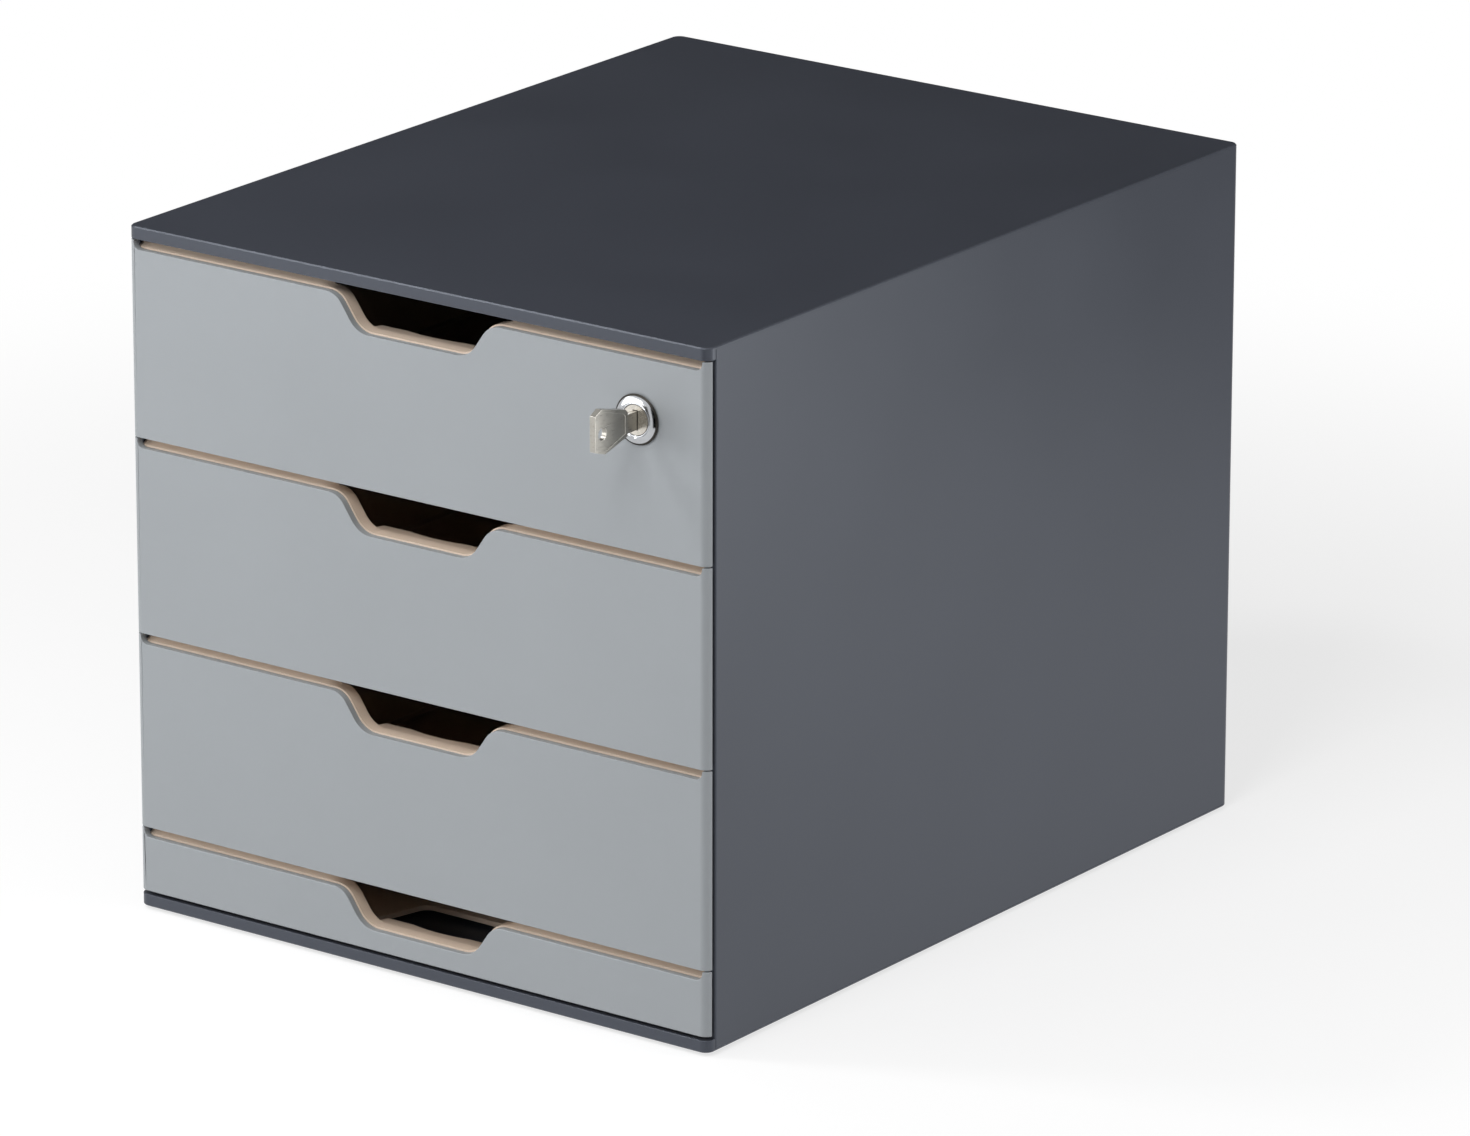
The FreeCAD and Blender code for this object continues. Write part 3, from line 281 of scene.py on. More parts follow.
class StudioSettings(bpy.types.PropertyGroup):
    """Floor, lamps and view."""

    sky: level("Sky", "Light from all round", 0.2)
    front_lamp: level("Front lamp", "Soft lamp high over the front", 0.5)
    left_lamp: level("Left lamp", "Low soft lamp at the left", 0.42)
    side_lamp: level("Side lamp", "Soft lamp behind the right side", 0.4)
    edge_lamp: level("Edge lamp", "Small lamp that draws a line on the top's edge", 0.28)
    floor: colour("Floor", "Pale floor", "#DDDDDD")
    shadow_depth: FloatProperty(
        name="Shadow depth",
        description="Share of the floor's white that a shadow can take away",
        default=0.3,
        min=0.0,
        max=1.0,
        subtype="FACTOR",
    )
    eye: FloatVectorProperty(
        name="Eye",
        description="Where the view is taken from",
        default=(2.1816, -2.9304, 1.3134),
        size=3,
        subtype="TRANSLATION",
        unit="LENGTH",
    )
    azimuth: angle("Azimuth", "How far the view is turned to the right of straight on", 36.399)
    elevation: angle("Elevation", "How far the view looks down", 18.061)
    roll: angle("Roll", "How far the view is tipped", 0.084)
    focal: FloatProperty(
        name="Focal length", description="Focal length in mm", default=236.55, min=10.0
    )


class DrawerBoxSettings(bpy.types.PropertyGroup):
    """Everything about the drawer box that a user would change."""

    edges: PointerProperty(type=EdgeSizes)
    lock: PointerProperty(type=LockSizes)
    colours: PointerProperty(type=FinishColours)
    studio: PointerProperty(type=StudioSettings)


def add_node(tree, kind, inputs=None, **settings):
    """Add a shader node, set its options, and fill or link its inputs."""
    node = tree.nodes.new(kind)
    for name, value in settings.items():
        setattr(node, name, value)
    for name, value in (inputs or {}).items():
        socket = node.inputs[name]
        if isinstance(value, bpy.types.NodeSocket):
            tree.links.new(value, socket)
        else:
            socket.default_value = value
    return node


def new_material(name):
    """An empty material and its node tree."""
    material = bpy.data.materials.new(name)
    material.use_nodes = True
    material.node_tree.nodes.clear()
    return material, material.node_tree


def per_metre(millimetres):
    """How often a pattern of this size repeats in a metre."""
    return 1 / (millimetres * MM)


def shaded(tone, share):
    """The same colour, lighter or darker by a share."""
    return opaque([min(1.0, part * (1 + share)) for part in tone])


def add_noise(tree, place, size_mm, detail):
    """Cloudy pattern whose clouds are about this wide."""
    noise = add_node(
        tree,
        "ShaderNodeTexNoise",
        {"Vector": place, "Scale": per_metre(size_mm), "Detail": detail, "Roughness": 0.5},
    )
    return noise.outputs["Fac"]


def add_spread(tree, pattern, low, high):
    """Stretch a cloudy pattern's middle range to run from low to high."""
    spread = add_node(
        tree,
        "ShaderNodeMapRange",
        {
            "Value": pattern,
            "From Min": NOISE_LOW,
            "From Max": NOISE_HIGH,
            "To Min": low,
            "To Max": high,
        },
    )
    return spread.outputs["Result"]


def add_bump(tree, height, depth_mm):
    """Turn a pattern into relief of this depth."""
    bump = add_node(
        tree, "ShaderNodeBump", {"Height": height, "Strength": 1.0, "Distance": depth_mm * MM}
    )
    return bump.outputs["Normal"]


def add_tint(tree, pattern, first, second):
    """Mix two colours by a pattern."""
    mix = add_node(
        tree,
        "ShaderNodeMix",
        {0: add_spread(tree, pattern, 0.0, 1.0), 6: first, 7: second},
        data_type="RGBA",
    )
    return mix.outputs[2]


def moulded_plastic(name, tone, grain_mm, depth_mm, rough, gloss, variation, sheen):
    """Injection-moulded plastic with a fine mould grain and slightly uneven shade."""
    material, tree = new_material(name)
    place = add_node(tree, "ShaderNodeTexCoord").outputs["Object"]
    clouds = add_noise(tree, place, CLOUD_MM, detail=2.0)
    grain = add_noise(tree, place, grain_mm, detail=3.0)
    base = add_tint(tree, clouds, shaded(tone, -variation), shaded(tone, variation))
    shader = add_node(
        tree,
        "ShaderNodeBsdfPrincipled",
        {
            "Base Color": base,
            "Roughness": add_spread(tree, clouds, rough - ROUGH_SPREAD, rough + ROUGH_SPREAD),
            "IOR": PLASTIC_IOR,
            "Specular IOR Level": gloss,
            "Specular Tint": opaque(sheen),
            "Normal": add_bump(tree, grain, depth_mm),
        },
    )
    add_node(tree, "ShaderNodeOutputMaterial", {"Surface": shader.outputs["BSDF"]})
    return material


def plated_metal(name, tone, rough, mark_mm, mark_depth_mm, stretch=(1.0, 1.0, 1.0)):
    """Plated metal whose faint marks break up its reflections."""
    material, tree = new_material(name)
    place = add_node(tree, "ShaderNodeTexCoord").outputs["Object"]
    drawn = add_node(tree, "ShaderNodeMapping", {"Vector": place, "Scale": stretch})
    marks = add_noise(tree, drawn.outputs["Vector"], mark_mm, detail=3.0)
    tones = shaded(tone, -MARK_TONE), shaded(tone, MARK_TONE)
    shader = add_node(
        tree,
        "ShaderNodeBsdfPrincipled",
        {
            "Base Color": add_tint(tree, marks, *tones),
            "Metallic": 1.0,
            "Roughness": add_spread(tree, marks, rough * MARK_SMOOTH, rough * MARK_ROUGH),
            "Normal": add_bump(tree, marks, mark_depth_mm),
        },
    )
    add_node(tree, "ShaderNodeOutputMaterial", {"Surface": shader.outputs["BSDF"]})
    return material


def dark_shade_metal(tone):
    """Dark, dull zinc whose colour is painted shade: a dark line round the rosette's rim and on the plug's edges.
    """
    return plated_metal(
        "Zinc, painted shade line", tone, rough=0.4, mark_mm=1.0, mark_depth_mm=0.004
    )


def merged_copy(name, node):
    """A copy of a CAD node whose loose triangles are joined into whole faces."""
    shape = bmesh.new()
    shape.from_mesh(frame["nodes"][node].data)
    bmesh.ops.remove_doubles(shape, verts=shape.verts, dist=JOINED)
    bmesh.ops.dissolve_limit(
        shape, angle_limit=math.radians(FLAT_ANGLE), verts=shape.verts, edges=shape.edges
    )
    mesh = bpy.data.meshes.new(name)
    shape.to_mesh(mesh)
    shape.free()
    for attribute in [item for item in mesh.attributes if item.name == "custom_normal"]:
        mesh.attributes.remove(attribute)
    mesh.materials.clear()
    mesh.shade_smooth()
    return mesh


def add_piece(name, mesh, node, finishes):
    """Put a finished piece in the scene in the place of its CAD node."""
    piece = bpy.data.objects.new(name, mesh)
    bpy.context.scene.collection.objects.link(piece)
    for finish in finishes:
        mesh.materials.append(finish)
    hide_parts(node)
    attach(piece, BODY_OF[node])
    return piece


def round_edges(piece, radius, steps, edge_finish):
    """Round a piece's sharp edges, and keep its flat faces flat in the light."""
    bevel = piece.modifiers.new("rounded edges", "BEVEL")
    bevel.width = radius
    bevel.segments = steps
    bevel.limit_method = "ANGLE"
    bevel.angle_limit = math.radians(EDGE_ANGLE)
    bevel.material = edge_finish
    piece.modifiers.new("flat faces", "WEIGHTED_NORMAL")


def finish_nodes(nodes, finishes, radius, steps, reshape=None):
    """Give each node a merged copy with rounded edges, the last finish being the edges'."""
    for node in nodes:
        name = f"{node}_finished"
        mesh = merged_copy(name, node)
        if reshape:
            reshape(mesh, node)
        piece = add_piece(name, mesh, node, finishes)
        round_edges(piece, radius, steps, len(finishes) - 1)


def cut_along(shape, place, normal):
    """Cut every face of a shape along a plane and leave it whole."""
    geometry = shape.verts[:] + shape.edges[:] + shape.faces[:]
    bmesh.ops.bisect_plane(
        shape, geom=geometry, dist=CUT_JOINED, plane_co=place, plane_no=normal
    )
    bmesh.ops.remove_doubles(shape, verts=shape.verts, dist=CUT_JOINED)


def quarter(mesh, node):
    """Cut a node's faces through the lock's axis, upright and level, so they bevel cleanly."""
    axis = lock_axis()
    shape = bmesh.new()
    shape.from_mesh(mesh)
    cut_along(shape, axis, (1.0, 0.0, 0.0))
    cut_along(shape, axis, (0.0, 0.0, 1.0))
    shape.to_mesh(mesh)
    shape.free()


def raise_rim(mesh, node):
    """Raise a ridge along the top of a tray's front wall, on both sides of its cut-out."""
    low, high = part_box(node)
    ridge = low.y + RIDGE_DEPTH
    near, far = RIDGE_START, high.x - RIDGE_END
    shape = bmesh.new()
    shape.from_mesh(mesh)
    for y in (ridge, ridge + RIDGE_BACK):
        cut_along(shape, (0.0, y, 0.0), (0.0, 1.0, 0.0))
    for x in (-far, -near, near, far):
        cut_along(shape, (x, 0.0, 0.0), (1.0, 0.0, 0.0))
    raised = [
        corner
        for corner in shape.verts
        if abs(corner.co.y - ridge) < ON_LINE
        and abs(corner.co.z - high.z) < ON_LINE
        and near - ON_LINE < abs(corner.co.x) < far + ON_LINE
    ]
    bmesh.ops.translate(shape, vec=(0.0, 0.0, RIDGE_RISE), verts=raised)
    shape.to_mesh(mesh)
    shape.free()


class DRAWERBOX_OT_casing(bpy.types.Operator):
    """Round and finish the five casing panels and the lock keeper"""

    bl_idname = "drawer_box.casing"
    bl_label = "Casing"

    def execute(self, context):
        settings = context.scene.drawer_box
        tone = settings.colours.casing
        # Spark-eroded mould steel leaves a dry, even, slightly sandy surface.
        # Its real grain is about 0.1 mm and would not show, so it is drawn at 1.1 mm.
        panels = moulded_plastic(
            "ABS charcoal, spark-eroded",
            tone,
            grain_mm=1.1,
            depth_mm=0.02,
            rough=0.4,
            gloss=0.5,
            variation=0.03,
            sheen=COOL,
        )
        # The mould parts along the edges, which come out smoother and catch the light.
        edges = moulded_plastic(
            "ABS charcoal, parting edge",
            tone,
            grain_mm=1.1,
            depth_mm=0.006,
            rough=0.24,
            gloss=0.7,
            variation=0.03,
            sheen=COOL,
        )
        finish_nodes(
            CASING_PANELS, (panels, edges), settings.edges.casing, settings.edges.steps
        )
        finish_nodes(
            ("lock_keeper",), (panels, edges), settings.edges.metal, settings.edges.steps
        )
        return {"FINISHED"}


class DRAWERBOX_OT_feet(bpy.types.Operator):
    """Round and finish the four rubber feet"""

    bl_idname = "drawer_box.feet"
    bl_label = "Feet"

    def execute(self, context):
        settings = context.scene.drawer_box
        # Pressed rubber is nearly black and dull, with a faint bloom.
        rubber = moulded_plastic(
            "SBR rubber, pressed",
            settings.colours.rubber,
            grain_mm=1.2,
            depth_mm=0.03,
            rough=0.8,
            gloss=0.25,
            variation=0.1,
            sheen=PLAIN,
        )
        finish_nodes(FEET, (rubber,), settings.edges.rubber, settings.edges.steps)
        return {"FINISHED"}


class DRAWERBOX_OT_fronts(bpy.types.Operator):
    """Round and finish the four grey drawer fronts"""

    bl_idname = "drawer_box.fronts"
    bl_label = "Drawer fronts"

    def execute(self, context):
        settings = context.scene.drawer_box
        tone = settings.colours.front
        # A finely blasted mould gives a flat, silky grey with hardly any gloss.
        # Its grain of some 0.05 mm is drawn at 0.9 mm, so that it shows at all.
        faces = moulded_plastic(
            "ABS light grey, fine blasted",
            tone,
            grain_mm=0.9,
            depth_mm=0.012,
            rough=0.42,
            gloss=0.5,
            variation=0.012,
            sheen=COOL,
        )
        # The outer edges are polished in the mould and draw a thin bright line.
        edges = moulded_plastic(
            "ABS light grey, polished edge",
            tone,
            grain_mm=0.9,
            depth_mm=0.004,
            rough=0.3,
            gloss=0.5,
            variation=0.012,
            sheen=COOL,
        )
        nodes = [f"drawer_{drawer}_front" for drawer in DRAWERS]
        finish_nodes(nodes, (faces, edges), settings.edges.front, settings.edges.steps)
        return {"FINISHED"}


class DRAWERBOX_OT_trays(bpy.types.Operator):
    """Round and finish the four sand-coloured trays"""

    bl_idname = "drawer_box.trays"
    bl_label = "Drawer trays"

    def execute(self, context):
        settings = context.scene.drawer_box
        tone = settings.colours.tray
        # Polystyrene from a smooth mould: warm sand with a soft sheen and faint flow clouds.
        walls = moulded_plastic(
            "Polystyrene sand, moulded",
            tone,
            grain_mm=1.0,
            depth_mm=0.012,
            rough=0.42,
            gloss=0.4,
            variation=0.02,
            sheen=PLAIN,
        )
        # Rims and ledges are rounded and polished, and shine along their length.
        edges = moulded_plastic(
            "Polystyrene sand, polished rim",
            tone,
            grain_mm=1.0,
            depth_mm=0.004,
            rough=0.26,
            gloss=0.6,
            variation=0.02,
            sheen=PLAIN,
        )
        nodes = [f"drawer_{drawer}_tray" for drawer in DRAWERS]
        sizes = settings.edges
        finish_nodes(nodes, (walls, edges), sizes.tray, sizes.steps, reshape=raise_rim)
        return {"FINISHED"}


def arc(centre, radius, start, end, steps):
    """Points along an arc in the plane of radius and depth, angles in degrees."""
    turns = [math.radians(start + (end - start) * step / steps) for step in range(steps + 1)]
    return [
        (centre[0] + radius * math.cos(turn), centre[1] + radius * math.sin(turn))
        for turn in turns
    ]


def barrel_section(sizes, low, high, axis):
    """Half section of the lock barrel as (radius, depth) points, closed on itself."""
    front, rear = low.y, high.y
    outer = high.x - axis.x
    head = frame_radius("lock_plug", axis) + PLUG_PLAY
    bore = head - PLUG_STEP
    thread = outer - THREAD_INSET
    face = front + BARREL_FACE
    rim = front + BARREL_RIM
    ring = head + sizes.bead + BARREL_RIM
    seat = front + BARREL_SEAT
    # Up the bore, over the step for the plug's head and round the bead.
    points = [(bore, rear), (bore, front + BARREL_STEP), (head, front + BARREL_STEP)]
    points.append((head, face + BARREL_MOUTH))
    half_bead = sizes.bead / 2
    bead = (head + half_bead, face + half_bead)
    points += arc(bead, half_bead, BEAD_START, BEAD_END, BEAD_STEPS)
    # Down the rosette's face, its side and the undercut to the seat.
    for step in range(FALL_STEPS + 1):
        share = step / FALL_STEPS
        fall = sizes.fall * (FALL_EVEN * share + (1 - FALL_EVEN) * share**2)
        points.append((ring + (outer - ring) * share, rim + fall))
    points += [(outer, seat - sizes.undercut), (outer - sizes.undercut, seat), (thread, seat)]
    # Back along the thread, one groove to each turn.
    half = sizes.thread_pitch / 2
    groove = seat + BARREL_BARE
    while groove < rear - sizes.thread_pitch:
        points.append((thread, groove))
        points += [
            (thread - sizes.thread_depth, groove + half * share) for share in GROOVE_FLAT
        ]
        groove += sizes.thread_pitch
    points.append((thread, groove))
    points += [(thread, rear - THREAD_CHAMFER), (thread - THREAD_CHAMFER, rear)]
    return points


def frame_radius(node, axis):
    """How far a CAD node that turns round a level axis reaches from it."""
    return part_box(node)[1].x - axis.x


def turned(name, section, axis, turns):
    """Turn a closed half section round a level axis along Y into a solid ring."""
    shape = bmesh.new()
    corners = [
        shape.verts.new((axis.x + radius, depth, axis.z)) for radius, depth in section
    ]
    edges = [
        shape.edges.new((corner, corners[place - 1])) for place, corner in enumerate(corners)
    ]
    bmesh.ops.spin(
        shape,
        geom=corners + edges,
        cent=axis,
        axis=(0, 1, 0),
        dvec=(0, 0, 0),
        angle=math.tau,
        steps=turns,
        use_merge=True,
        use_duplicate=False,
    )
    bmesh.ops.remove_doubles(shape, verts=shape.verts, dist=JOINED)
    bmesh.ops.recalc_face_normals(shape, faces=shape.faces)
    mesh = bpy.data.meshes.new(name)
    shape.to_mesh(mesh)
    shape.free()
    mesh.shade_smooth()
    mesh.set_sharp_from_angle(angle=math.radians(SHARP_ANGLE))
    return mesh


def lock_axis():
    """A point on the line that the lock's plug turns round."""
    joint = next(item for item in frame["joints"] if item["child"] == "lock")
    return Vector(joint["pos_m"])


class DRAWERBOX_OT_barrel(bpy.types.Operator):
    """Turn the lock's threaded barrel and its rosette"""

    bl_idname = "drawer_box.barrel"
    bl_label = "Lock barrel"

    def execute(self, context):
        settings = context.scene.drawer_box
        axis = lock_axis()
        low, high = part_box("lock_barrel")
        section = barrel_section(settings.lock, low, high, axis)
        # Bright chrome over die-cast zinc: a hard mirror with very faint ripples.
        chrome = plated_metal(
            "Zinc, chrome plated",
            settings.colours.chrome,
            rough=0.13,
            mark_mm=3.0,
            mark_depth_mm=0.004,
        )
        # The rosette's outer band takes the dark colour, which leaves a dark line round the rosette: a painted
        # dark reflection and painted shade where chrome would mirror dark surroundings.
        seam = dark_shade_metal(settings.colours.seam)
        mesh = turned("lock_barrel_turned", section, axis, settings.lock.turns)
        # Faces within the band's width of the rim get the painted shade colour.
        for face in mesh.polygons:
            reach = math.hypot(face.center.x - axis.x, face.center.z - axis.z)
            if reach > high.x - axis.x - settings.lock.seam:
                face.material_index = 1
        add_piece("lock_barrel_turned", mesh, "lock_barrel", (chrome, seam))
        return {"FINISHED"}


class DRAWERBOX_OT_lock_works(bpy.types.Operator):
    """Round and finish the lock's plug, nut, washer, cam and screw"""

    bl_idname = "drawer_box.lock_works"
    bl_label = "Lock works"

    def execute(self, context):
        settings = context.scene.drawer_box
        edges = settings.edges
        # The plug is left satin from its casting, and keys have scratched it.
        plug = plated_metal(
            "Zinc, nickel plated, scratched",
            settings.colours.plug,
            rough=0.24,
            mark_mm=1.2,
            mark_depth_mm=0.012,
        )
        # The plug's rounded edges take the same dark colour: painted shade along its rim and keyway.
        seam = dark_shade_metal(settings.colours.seam)
        finish_nodes(("lock_plug",), (plug, seam), edges.metal, edges.steps, reshape=quarter)
        # Bright zinc plate is bluish, satin and slightly cloudy.
        zinc = plated_metal(
            "Steel, zinc plated",
            settings.colours.zinc,
            rough=0.34,
            mark_mm=2.0,
            mark_depth_mm=0.01,
        )
        finish_nodes(LOCK_STEEL, (zinc,), edges.metal, edges.steps)
        return {"FINISHED"}


class DRAWERBOX_OT_key(bpy.types.Operator):
    """Round and finish the key"""

    bl_idname = "drawer_box.key"
    bl_label = "Key"

    def execute(self, context):
        settings = context.scene.drawer_box
        # Nickel over stamped brass: warm grey and satin, brushed along the blade.
        nickel = plated_metal(
            "Brass, nickel plated, brushed",
            settings.colours.nickel,
            rough=0.34,
            mark_mm=1.0,
            mark_depth_mm=0.0015,
            stretch=(1.0, 0.25, 3.0),
        )
        # Pockets and fingers rub the edges, and their lighter colour is also a painted highlight along the rounded
        # edges.
        polished = plated_metal(
            "Brass, nickel plated, worn edge with painted highlight",
            settings.colours.wear_and_highlight,
            rough=0.3,
            mark_mm=2.0,
            mark_depth_mm=0.001,
        )
        edges = settings.edges
        finish_nodes(("lock_key",), (nickel, polished), edges.key, edges.steps)
        return {"FINISHED"}


def ray_share(tree):
    """1 for what is seen directly, in gloss or through glass, and 0 for other light."""
    rays = add_node(tree, "ShaderNodeLightPath")
    seen = rays.outputs["Is Camera Ray"]
    for kind in ("Is Glossy Ray", "Is Transmission Ray"):
        largest = add_node(
            tree, "ShaderNodeMath", {0: seen, 1: rays.outputs[kind]}, operation="MAXIMUM"
        )
        seen = largest.outputs["Value"]
    return seen


def outwards(azimuth, elevation=0.0):
    """Direction from the box, turned to the right of its front and raised by these angles."""
    level_part = math.cos(elevation)
    return Vector(
        (
            math.sin(azimuth) * level_part,
            -math.cos(azimuth) * level_part,
            math.sin(elevation),
        )
    )


def add_lamp(name, strength, target, azimuth, elevation, distance, width, height):
    """Soft rectangular lamp, seen from its target in this direction, in degrees."""
    way = outwards(math.radians(azimuth), math.radians(elevation))
    data = bpy.data.lights.new(name, "AREA")
    data.shape = "RECTANGLE"
    data.size = width
    data.size_y = height
    # This power gives a surface that faces the lamp the same light at any distance.
    data.energy = strength * (math.pi * distance) ** 2
    lamp = bpy.data.objects.new(name, data)
    lamp.visible_camera = False
    bpy.context.scene.collection.objects.link(lamp)
    turned_to = way.to_track_quat("Z", "Y").to_matrix().to_4x4()
    lamp.matrix_world = Matrix.Translation(target + way * distance) @ turned_to


def card_material():
    """Matt black paper, which gives gloss something dark to show."""
    material, tree = new_material("Card, matt black")
    black = add_node(tree, "ShaderNodeBsdfDiffuse", {"Color": opaque(linear("#050505"))})
    add_node(tree, "ShaderNodeOutputMaterial", {"Surface": black.outputs["BSDF"]})
    return material


def add_card(name, finish, azimuth, middle, width, height):
    """Black card that stands upright, turned like this, and shows in gloss only."""
    shape = bmesh.new()
    bmesh.ops.create_grid(shape, x_segments=1, y_segments=1, size=0.5)
    upright = Matrix.Rotation(azimuth, 4, "Z") @ Matrix.Rotation(math.pi / 2, 4, "X")
    stretch = Matrix.Diagonal((width, height, 1.0, 1.0))
    place = Matrix.Translation(middle) @ upright @ stretch
    bmesh.ops.transform(shape, matrix=place, verts=shape.verts)
    mesh = bpy.data.meshes.new(name)
    shape.to_mesh(mesh)
    shape.free()
    mesh.materials.append(finish)
    card = bpy.data.objects.new(name, mesh)
    bpy.context.scene.collection.objects.link(card)
    card.visible_camera = False
    card.visible_diffuse = False
    card.visible_shadow = False


def add_cards(settings):
    """Cards keep glare off the top and the side's rear, and give the lock its dark side."""
    finish = card_material()
    turn = settings.azimuth
    behind = Vector((0.0, 0.0, REAR_CARD_HEIGHT)) - outwards(turn) * REAR_CARD_DISTANCE
    add_card("rear card", finish, turn, behind, *REAR_CARD_SIZE)
    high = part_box("right_side_panel")[1]
    corner = Vector((high.x, high.y, SIDE_CARD_HEIGHT))
    turn = math.radians(SIDE_CARD_TURN)
    beside = corner + outwards(turn) * SIDE_CARD_DISTANCE
    add_card("side card", finish, turn, beside, *SIDE_CARD_SIZE)
    turn = math.radians(LOCK_CARD_TURN)
    before = lock_axis() + outwards(turn) * LOCK_CARD_DISTANCE
    add_card("lock card", finish, turn, before, *LOCK_CARD_SIZE)


def floor_material(tone, shadow_depth):
    """Pale painted board that reads white where no shadow falls."""
    material, tree = new_material("Painted board, matt white")
    place = add_node(tree, "ShaderNodeTexCoord").outputs["Object"]
    away = add_node(
        tree, "ShaderNodeVectorMath", {0: place, 1: (1.0, 1.0, 0.0)}, operation="MULTIPLY"
    )
    reach = add_node(
        tree, "ShaderNodeVectorMath", {0: away.outputs["Vector"]}, operation="LENGTH"
    )
    near = add_node(
        tree,
        "ShaderNodeMapRange",
        {
            "Value": reach.outputs["Value"],
            "From Min": SHADOW_NEAR,
            "From Max": SHADOW_FAR,
            "To Min": 1.0,
            "To Max": 0.0,
        },
        interpolation_type="SMOOTHSTEP",
    )
    grey = opaque([shadow_depth * SHADOW_GAIN] * 3)
    lit = add_node(tree, "ShaderNodeBsdfDiffuse", {"Color": grey})
    glow = add_node(
        tree, "ShaderNodeEmission", {"Color": WHITE, "Strength": 1.0 - shadow_depth}
    )
    shaded_part = add_node(
        tree, "ShaderNodeAddShader", {0: glow.outputs["Emission"], 1: lit.outputs["BSDF"]}
    )
    far_part = add_node(tree, "ShaderNodeEmission", {"Color": WHITE, "Strength": 1.0})
    seen = add_node(
        tree,
        "ShaderNodeMixShader",
        {
            0: near.outputs["Result"],
            1: far_part.outputs["Emission"],
            2: shaded_part.outputs["Shader"],
        },
    )
    plain = add_node(tree, "ShaderNodeBsdfDiffuse", {"Color": opaque(tone)})
    whole = add_node(
        tree,
        "ShaderNodeMixShader",
        {0: ray_share(tree), 1: plain.outputs["BSDF"], 2: seen.outputs["Shader"]},
    )
    add_node(tree, "ShaderNodeOutputMaterial", {"Surface": whole.outputs["Shader"]})
    return material


def add_floor(settings):
    """Flat floor under the feet, kept out of the object."""
    shape = bmesh.new()
    bmesh.ops.create_grid(
        shape, x_segments=FLOOR_CELLS, y_segments=FLOOR_CELLS, size=FLOOR_HALF
    )
    mesh = bpy.data.meshes.new("floor")
    shape.to_mesh(mesh)
    shape.free()
    floor = bpy.data.objects.new("floor", mesh)
    bpy.context.scene.collection.objects.link(floor)
    mesh.materials.append(floor_material(settings.floor, settings.shadow_depth))


def set_sky(strength):
    """White surroundings that light the object at their own, lower level."""
    world = bpy.data.worlds.new("studio")
    bpy.context.scene.world = world
    world.use_nodes = True
    tree = world.node_tree
    tree.nodes.clear()
    amount = add_node(
        tree,
        "ShaderNodeMapRange",
        {"Value": ray_share(tree), "To Min": strength, "To Max": 1.0},
    )
    sky = add_node(
        tree,
        "ShaderNodeBackground",
        {"Color": WHITE, "Strength": amount.outputs["Result"]},
    )
    add_node(tree, "ShaderNodeOutputWorld", {"Surface": sky.outputs["Background"]})


def add_view(settings):
    """Camera that looks at the front, the right side and the top."""
    data = bpy.data.cameras.new("view")
    data.sensor_fit = "HORIZONTAL"
    data.sensor_width = FILM_WIDTH
    data.lens = settings.focal
    data.clip_end = VIEW_REACH
    camera = bpy.data.objects.new("view", data)
    bpy.context.scene.collection.objects.link(camera)
    turn = settings.azimuth
    back = outwards(turn, settings.elevation)
    right = Vector((math.cos(turn), math.sin(turn), 0.0))
    facing = Matrix((right, back.cross(right), back)).transposed().to_4x4()
    roll = Matrix.Rotation(settings.roll, 4, "Z")
    camera.matrix_world = Matrix.Translation(Vector(settings.eye)) @ facing @ roll
    bpy.context.scene.camera = camera


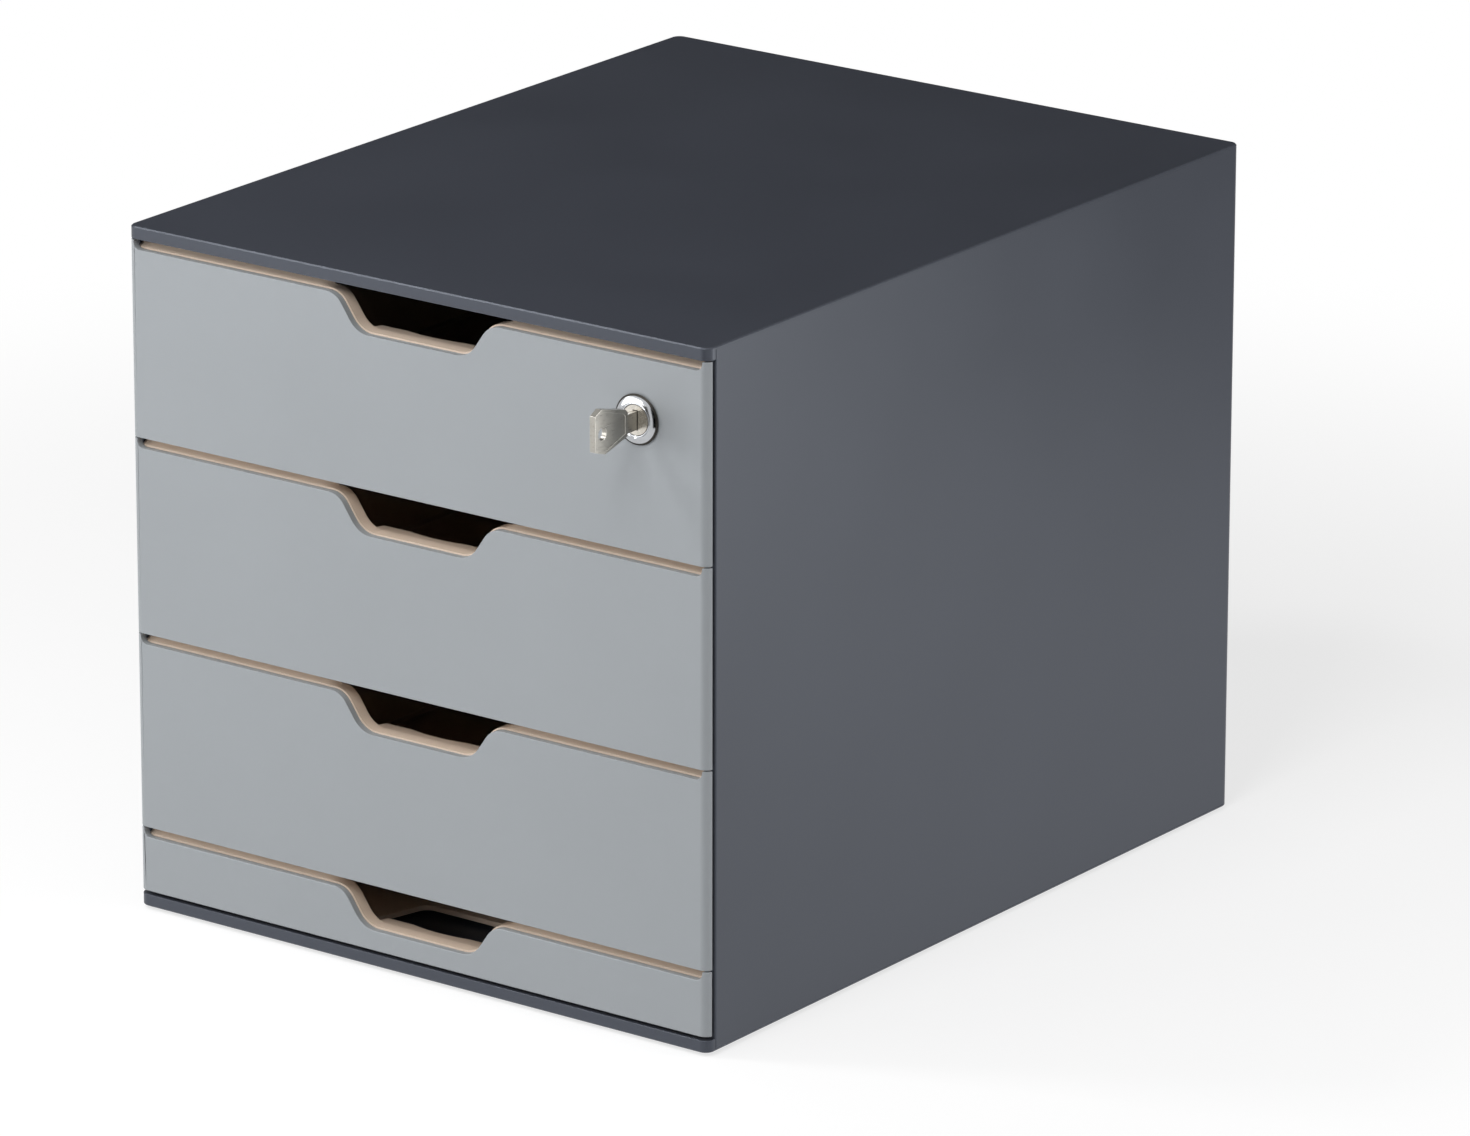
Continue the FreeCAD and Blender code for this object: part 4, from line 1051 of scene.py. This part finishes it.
class DRAWERBOX_OT_stage(bpy.types.Operator):
    """Lay the floor, hang the lamps, stand up the cards and set the view"""

    bl_idname = "drawer_box.stage"
    bl_label = "Floor, lamps and view"

    def execute(self, context):
        settings = context.scene.drawer_box.studio
        add_floor(settings)
        set_sky(settings.sky)
        top = CAD_BOX[1].z
        low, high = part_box("drawer_1_front")
        middle = Vector((0.0, low.y, top / 2))
        add_lamp("front lamp", settings.front_lamp, middle, **FRONT_LAMP)
        left = Vector((low.x / 2, low.y, top / 2))
        add_lamp("left lamp", settings.left_lamp, left, **LEFT_LAMP)
        edge = Vector((0.0, low.y, high.z))
        add_lamp("edge lamp", settings.edge_lamp, edge, **EDGE_LAMP)
        low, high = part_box("right_side_panel")
        beside = Vector((high.x, low.y, top * SIDE_LAMP_HEIGHT))
        add_lamp("side lamp", settings.side_lamp, beside, **SIDE_LAMP)
        add_cards(settings)
        add_view(settings)
        context.scene.view_settings.view_transform = "Standard"
        return {"FINISHED"}


OPERATORS = (
    DRAWERBOX_OT_casing,
    DRAWERBOX_OT_feet,
    DRAWERBOX_OT_fronts,
    DRAWERBOX_OT_trays,
    DRAWERBOX_OT_barrel,
    DRAWERBOX_OT_lock_works,
    DRAWERBOX_OT_key,
    DRAWERBOX_OT_stage,
)


class DRAWERBOX_PT_sidebar(bpy.types.Panel):
    """Lists the drawer box's steps, sizes and colours"""

    bl_idname = "DRAWERBOX_PT_sidebar"
    bl_label = "Drawer box"
    bl_space_type = "VIEW_3D"
    bl_region_type = "UI"
    bl_category = "Drawer box"

    def draw(self, context):
        settings = context.scene.drawer_box
        column = self.layout.column(align=True)
        for operator in OPERATORS:
            column.operator(operator.bl_idname)
        for group in (settings.edges, settings.lock, settings.colours, settings.studio):
            box = self.layout.box()
            for name in group.__annotations__:
                box.prop(group, name)


CLASSES = (
    EdgeSizes,
    LockSizes,
    FinishColours,
    StudioSettings,
    DrawerBoxSettings,
    *OPERATORS,
    DRAWERBOX_PT_sidebar,
)


def register():
    """Add the classes and the settings to Blender."""
    for item in CLASSES:
        bpy.utils.register_class(item)
    bpy.types.Scene.drawer_box = PointerProperty(type=DrawerBoxSettings)


def unregister():
    """Take the classes and the settings out of Blender."""
    del bpy.types.Scene.drawer_box
    for item in reversed(CLASSES):
        bpy.utils.unregister_class(item)


def main():
    """Finish every piece and build the stage."""
    register()
    bpy.ops.drawer_box.casing()
    bpy.ops.drawer_box.feet()
    bpy.ops.drawer_box.fronts()
    bpy.ops.drawer_box.trays()
    bpy.ops.drawer_box.barrel()
    bpy.ops.drawer_box.lock_works()
    bpy.ops.drawer_box.key()
    bpy.ops.drawer_box.stage()


if __name__ == "__main__":
    main()
